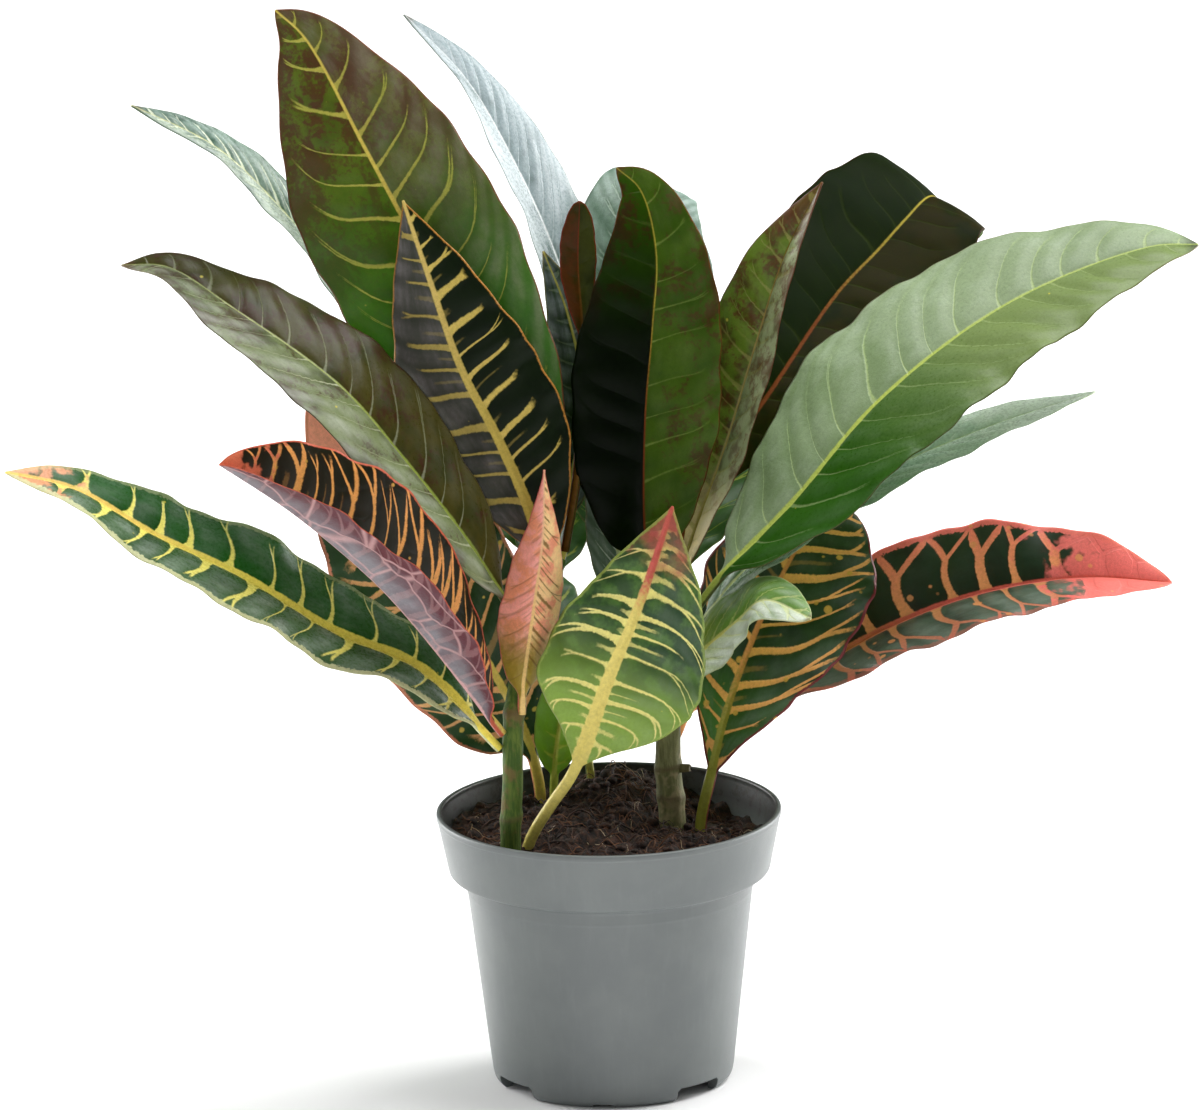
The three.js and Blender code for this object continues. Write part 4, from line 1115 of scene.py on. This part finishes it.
def make_crumbs(skin, number, seed):
    """Small lumps of peat, each a ball with bumps."""
    draw = random.Random(seed)
    ball = bmesh.new()
    bmesh.ops.create_icosphere(ball, subdivisions=2, radius=1.0)
    shape = [np.array(vert.co) for vert in ball.verts]
    sides = [tuple(vert.index for vert in face.verts) for face in ball.faces]
    ball.free()
    edge = inner_radius(SOIL_LEVEL) - CRUMB_CLEAR
    points, faces = [], []
    for _ in range(number):
        x, y = somewhere(draw, edge)
        size = 0.5 + 1.6 * draw.random() ** 2.5
        stretch = np.array([draw.uniform(0.7, 1.3), draw.uniform(0.7, 1.3), draw.uniform(0.5, 0.9)])
        salt = Vector((draw.uniform(0, 50), 0, 0))
        start, centre = len(points), on_soil(x, y, size * 0.15)
        for way in shape:
            bump = 1 + 0.45 * noise.noise(Vector(way * 1.6) + salt)
            points.append(centre + way * stretch * size * bump)
        faces += [tuple(start + i for i in face) for face in sides]
    new_piece("peat_crumbs", points, faces, skin)


def add_fibre(points, faces, path, radius, sides=4):
    """A thin rod along a path of points, tapering at its ends."""
    start, last = len(points), len(path) - 1
    for i, spot in enumerate(path):
        way = unit(path[min(i + 1, last)] - path[max(i - 1, 0)])
        side = unit(np.cross(way, (0.1, 0.2, 1)))
        wide = radius * (0.4 + 0.6 * sin(pi * i / last))
        points += [spot + spoke(side, np.cross(side, way), angle) * wide for angle in angles(sides)]
    faces += tube_faces(len(path), sides, start)


def fibre_path(draw, x, y, lengths, edge):
    """Points of a fibre that lies on the soil in random bends, mostly close to it."""
    turn, bend = draw.uniform(0, tau), draw.uniform(-0.14, 0.14)
    long = draw.uniform(*lengths)
    steps = max(5, int(long / FIBRE_STATION))
    lift = draw.uniform(0.1, 0.9) if draw.random() < 0.8 else draw.uniform(1, 3.5)
    path = []
    for i in range(steps + 1):
        path.append(on_soil(x, y, lift * sin(pi * i / steps) - 0.25))
        turn += bend + draw.uniform(-0.25, 0.25)
        x += cos(turn) * long / steps
        y += sin(turn) * long / steps
        if hypot(x, y) > edge or not is_clear(x, y):
            break
    return path


def make_fibres(name, light, dark, number, lengths, radii, seed):
    draw = random.Random(seed)
    edge = inner_radius(SOIL_LEVEL) - FIBRE_CLEAR
    points, faces = [], []
    for _ in range(number):
        path = fibre_path(draw, *somewhere(draw, edge), lengths, edge)
        if len(path) > 3:
            add_fibre(points, faces, path, draw.uniform(*radii))
    skin = fibre_skin(name.rstrip("s"), light, dark)
    new_piece(name, points, faces, skin)


def fibre_skin(name, light, dark):
    skin = Skin(name)
    spot = skin.spot()
    fine = skin.grain(spot, 2.0)
    tone = skin.soft(skin.grain(spot, 0.16) + fine * 0.2, 0.45, 0.75)
    shade = skin.coats(paint(*dark), (tone, light))
    return skin.surface(skin.add("BsdfPrincipled", Base_Color=shade, Roughness=0.6 + fine * 0.3))


# Pot.

# The darker grey band on the inside of the wall above the soil: where it starts, and the wall's slope
# and radius there.
DARKER_FROM, WALL_SLOPE, WALL_INSIDE = 84.0, 0.222, (37.2, 37.6)


def pot_skin():
    skin = Skin("grow_pot_plastic")
    spot = skin.spot()
    x, y, z = skin.parts(spot)
    grain = skin.grain(spot, 5.0, 3.0, 0.6)
    cloud = skin.grain(spot, 0.045, 4.0, 0.6)
    flow = skin.grain(skin.point(x, y, z * 0.1), 0.4, 3.0, 0.6)
    radius = skin.maths("SQRT", x * x + y * y, 0.0)
    within = 1.0 - skin.soft(radius - z * WALL_SLOPE, *WALL_INSIDE)
    darker_inside = skin.clip((z - DARKER_FROM) * 0.2) * within
    dirt = skin.soft(skin.grain(spot, 0.3, 4.0, 0.7), 0.5, 0.62) * darker_inside
    scuff = skin.soft(skin.grain(skin.point(x * 0.4, y * 0.4, z * 3.0), 0.5, 4.0, 0.7), 0.68, 0.78)
    shade = skin.coats(
        paint(100, 105, 105),
        (skin.soft(cloud, 0.35, 0.7), (106, 111, 110)),
        (skin.soft(flow, 0.5, 0.75) * 0.12, (124, 129, 128)),
        (darker_inside * 0.85, (52, 52, 50)),
        (dirt * 0.6, (40, 28, 20)),
        (scuff * 0.15, (168, 172, 171)),
    )
    bump = (0.25, 0.0004, grain * 0.6 + flow * 0.4)
    return skin.surface(skin.gloss(shade, 0.32 + grain * 0.12 + scuff * 0.1, bump))


def rounded(profile):
    """The profile with each corner cut by a small arc of its own radius."""
    path = []
    for i, (radius, height, turn) in enumerate(profile):
        here = np.array((radius, height), float)
        if turn <= 0:
            path.append(here)
            continue
        before = np.array(profile[i - 1][:2], float) - here
        after = np.array(profile[i + 1][:2], float) - here
        cut = min(turn, np.linalg.norm(before) * 0.45, np.linalg.norm(after) * 0.45)
        first, last = here + unit(before) * cut, here + unit(after) * cut
        for part in (0, 0.25, 0.5, 0.75, 1):
            path.append((1 - part) ** 2 * first + 2 * part * (1 - part) * here + part**2 * last)
    return path


# Radius, height and rounding of each corner, from the middle of the underside up the outer
# wall, over the rim and down to the middle of the floor.
POT_PROFILE = [
    (0, FLOOR_UNDERSIDE, 0),
    (FOOT_RADIUS - FOOT_RING_WIDTH, FLOOR_UNDERSIDE, 0.5),
    (FOOT_RADIUS - FOOT_RING_WIDTH, 0, 0.4),
    (FOOT_RADIUS, 0, 0.5),
    (FOOT_RADIUS * 0.25 + WALL_FOOT_RADIUS * 0.75, WALL_FOOT_HEIGHT * 0.35, 1.2),
    (WALL_FOOT_RADIUS, WALL_FOOT_HEIGHT, 1.5),
    (SHOULDER_RADIUS - 0.45, SHOULDER_HEIGHT - 5.2, 0.5),
    (SHOULDER_RADIUS - 0.2, SHOULDER_HEIGHT - 4.4, 0.5),
    (SHOULDER_RADIUS, SHOULDER_HEIGHT, 1.4),
    (SHOULDER_RADIUS + UNDERCUT + 0.4, SHOULDER_HEIGHT + UNDERCUT * 0.8, 0.6),
    (BAND_FOOT_RADIUS, BAND_FOOT_HEIGHT - UNDERCUT, 1.4),
    (RIM_RADIUS - 0.35, POT_HEIGHT - 2.4, 0.4),
    (RIM_RADIUS, POT_HEIGHT - 1.9, 0.5),
    (RIM_RADIUS, POT_HEIGHT, 0.8),
    (RIM_RADIUS - WALL * 1.4, POT_HEIGHT, 0.7),
    (RIM_RADIUS - WALL * 1.4, POT_HEIGHT - 1.6, 0.6),
    (inner_radius(BAND_FOOT_HEIGHT), BAND_FOOT_HEIGHT, 1.0),
    (inner_radius(SHOULDER_HEIGHT), SHOULDER_HEIGHT, 1.0),
    (inner_radius(FLOOR_TOP), FLOOR_TOP, 1.0),
    (0, FLOOR_TOP, 0),
]


def make_pot(skin):
    sides = 192
    path = rounded(POT_PROFILE)
    points = [np.array((0, 0, path[0][1]))]
    for radius, height in path[1:-1]:
        points += level_ring(radius, height, sides)
    points.append(np.array((0, 0, path[-1][1])))
    faces = []
    last = len(points) - 1
    for j in range(sides):
        k = (j + 1) % sides
        faces.append((0, 1 + k, 1 + j))
        faces.append((last, last - sides + j, last - sides + k))
    faces += tube_faces(len(path) - 2, sides, 1)[:-2]
    piece = new_piece("grow_pot", points, faces, skin)
    for middle in (FEET_TURN, FEET_TURN + 180):
        for turn in (middle - NOTCH_SPREAD, middle + NOTCH_SPREAD):
            cut_away(piece, foot_cutter(turn, *WIDE_NOTCH))
        cut_away(piece, foot_cutter(middle, *SMALL_NOTCH))
    for i in range(DRAINS):
        cut_away(piece, drain_cutter((FEET_TURN + (i + 0.5) * 360 / DRAINS) * DEG))
    smooth_by_angle(piece)
    stand_for(piece, "pot")


def drain_cutter(turn):
    tool = bmesh.new()
    radius = DRAIN_RADIUS * MM
    bmesh.ops.create_cone(
        tool, cap_ends=True, segments=32, radius1=radius, radius2=radius, depth=0.02
    )
    spot = Vector((DRAIN_CIRCLE * cos(turn), DRAIN_CIRCLE * sin(turn), 0)) * MM
    bmesh.ops.translate(tool, verts=tool.verts, vec=spot)
    return tool


def foot_cutter(turn, width, height):
    """A block across the foot ring, with its upper edges rounded."""
    tool = bmesh.new()
    bmesh.ops.create_cube(tool, size=1.0)
    bmesh.ops.scale(tool, verts=tool.verts, vec=(0.02, width * MM, height * 2 * MM))
    bmesh.ops.translate(tool, verts=tool.verts, vec=(FOOT_RADIUS * MM, 0, 0))
    about_axis = Matrix.Rotation(turn * DEG, 3, "Z")
    bmesh.ops.rotate(tool, verts=tool.verts, cent=(0, 0, 0), matrix=about_axis)
    upper = [edge for edge in tool.edges if all(vert.co.z > 0 for vert in edge.verts)]
    bmesh.ops.bevel(tool, geom=upper, offset=NOTCH_ROUNDING * MM, segments=3, affect="EDGES")
    return tool


def cut_away(piece, tool):
    bmesh.ops.translate(tool, verts=tool.verts, vec=Vector(-SPREAD_MIDDLE * MM))
    mesh = bpy.data.meshes.new("cutter")
    tool.to_mesh(mesh)
    tool.free()
    cutter = put("cutter", mesh)
    step = piece.modifiers.new("cut", "BOOLEAN")
    step.object = cutter
    step.operation = "DIFFERENCE"
    step.solver = "EXACT"
    bpy.context.view_layer.update()
    done = piece.evaluated_get(bpy.context.evaluated_depsgraph_get())
    result = bpy.data.meshes.new_from_object(done)
    piece.modifiers.clear()
    piece.data = result
    bpy.data.objects.remove(cutter)
    bpy.data.meshes.remove(mesh)


def smooth_by_angle(piece, limit=40):
    shape = bmesh.new()
    shape.from_mesh(piece.data)
    for face in shape.faces:
        face.smooth = True
    for crease in shape.edges:
        if len(crease.link_faces) == 2 and crease.calc_face_angle(0) > limit * DEG:
            crease.smooth = False
    shape.to_mesh(piece.data)
    shape.free()


# The plant.

STEM_CURVES = {key: Curve(stem.line) for key, stem in STEMS.items()}
STANDS = [(-34, -28, 4.2), (22, 8, 5.2)]  # where the stems stand, and what they keep clear

for leaf_name, grown in LEAVES.items():
    grown = Row(**{**GROWN, **grown})
    if grown.stem == "soil":
        STANDS.append((*grown.rib[0][:2], grown.stout + 0.8))
    make_leaf("leaf_" + leaf_name, grown, Row(**{**PLAIN, **LOOKS[leaf_name]}))
make_stem("stem_left", "a", bark_skin("green_bark", (58, 82, 28), (88, 106, 42), (104, 86, 50)))
make_stem("stem_right", "b", bark_skin("grey_bark", (96, 98, 60), (124, 122, 82), (156, 144, 108)))
make_soil(peat_skin("peat_surface", (24, 14, 10), (74, 48, 33), (116, 72, 44)))
make_crumbs(peat_skin("peat_crumb", (30, 19, 14), (76, 50, 35), (110, 68, 42)), 620, seed=21)
make_fibres("rusty_fibres", (112, 74, 48), (62, 40, 27), 420, (5, 18), (0.1, 0.28), seed=31)
make_fibres("dark_fibres", (70, 44, 30), (34, 22, 16), 320, (6, 20), (0.14, 0.4), seed=32)
make_fibres("pale_roots", (206, 186, 156), (150, 122, 90), 60, (6, 22), (0.07, 0.16), seed=33)
make_pot(pot_skin())


# Floor, light and camera.


def floor_skin(colour):
    skin = Skin("pale_floor")
    return skin.surface(skin.add(
        "BsdfPrincipled", Base_Color=colour, Roughness=0.9, Emission_Color=colour,
        Emission_Strength=0.0,
    ))


FLOOR_HALF = 9
floor_mesh = bpy.data.meshes.new("floor")
floor_mesh.from_pydata(
    [(x * FLOOR_HALF, y * FLOOR_HALF, 0) for x, y in ((-1, -1), (1, -1), (1, 1), (-1, 1))],
    [], [(0, 1, 2, 3)],
)
floor_mesh.materials.append(floor_skin(grey(0.9)))
put("floor", floor_mesh)

world = bpy.data.worlds.new("studio")
world.use_nodes = True
air = world.node_tree.nodes["Background"].inputs
air["Color"].default_value = grey(1)
air["Strength"].default_value = 0.16
bpy.context.scene.world = world


def soft_light(name, place, power, size):
    """A rectangular light in metres and watts, aimed at the middle of the plant."""
    light = bpy.data.lights.new(name, "AREA")
    light.shape = "RECTANGLE"
    light.size, light.size_y = size
    light.energy = power
    lamp = put(name, light)
    lamp.location = place
    lamp.rotation_euler = (Vector((0, 0, 0.2)) - Vector(place)).to_track_quat("-Z", "Y").to_euler()


soft_light("light_left", (-1.25, 0.75, 0.45), 34, (0.9, 1.4))
soft_light("light_right", (1.25, 0.75, 0.45), 38, (0.9, 1.4))
soft_light("light_front", (-0.9, -2.2, 1.5), 7, (1.2, 1.2))

sun = bpy.data.lights.new("light_top", "SUN")
sun.energy = 4.1
sun.angle = 45 * DEG
put("light_top", sun).rotation_euler = Vector((0.25, 0.15, 1)).to_track_quat("Z", "Y").to_euler()

# The photograph's angle and roll, the camera's distance in metres and its lens in millimetres.
LOOK_DOWN, ROLL, DISTANCE, LENS = 15.4 * DEG, 1.1 * DEG, 8.0, 688.8
target = Vector((-2.83, 18.3, 174.7)) * MM
ahead = Vector((0, cos(LOOK_DOWN), -sin(LOOK_DOWN)))
level_up = Vector((0, sin(LOOK_DOWN), cos(LOOK_DOWN)))
level_right = Vector((1, 0, 0))
upward = level_up * cos(ROLL) + level_right * sin(ROLL)
rightward = level_right * cos(ROLL) - level_up * sin(ROLL)
lens = bpy.data.cameras.new("camera")
lens.sensor_width = 36
lens.lens = LENS
lens.clip_end = 100
camera = put("camera", lens)
turned = Matrix((rightward, upward, -ahead)).transposed().to_4x4()
camera.matrix_world = Matrix.Translation(target - ahead * DISTANCE) @ turned
bpy.context.scene.camera = camera
bpy.context.scene.view_settings.view_transform = "Standard"
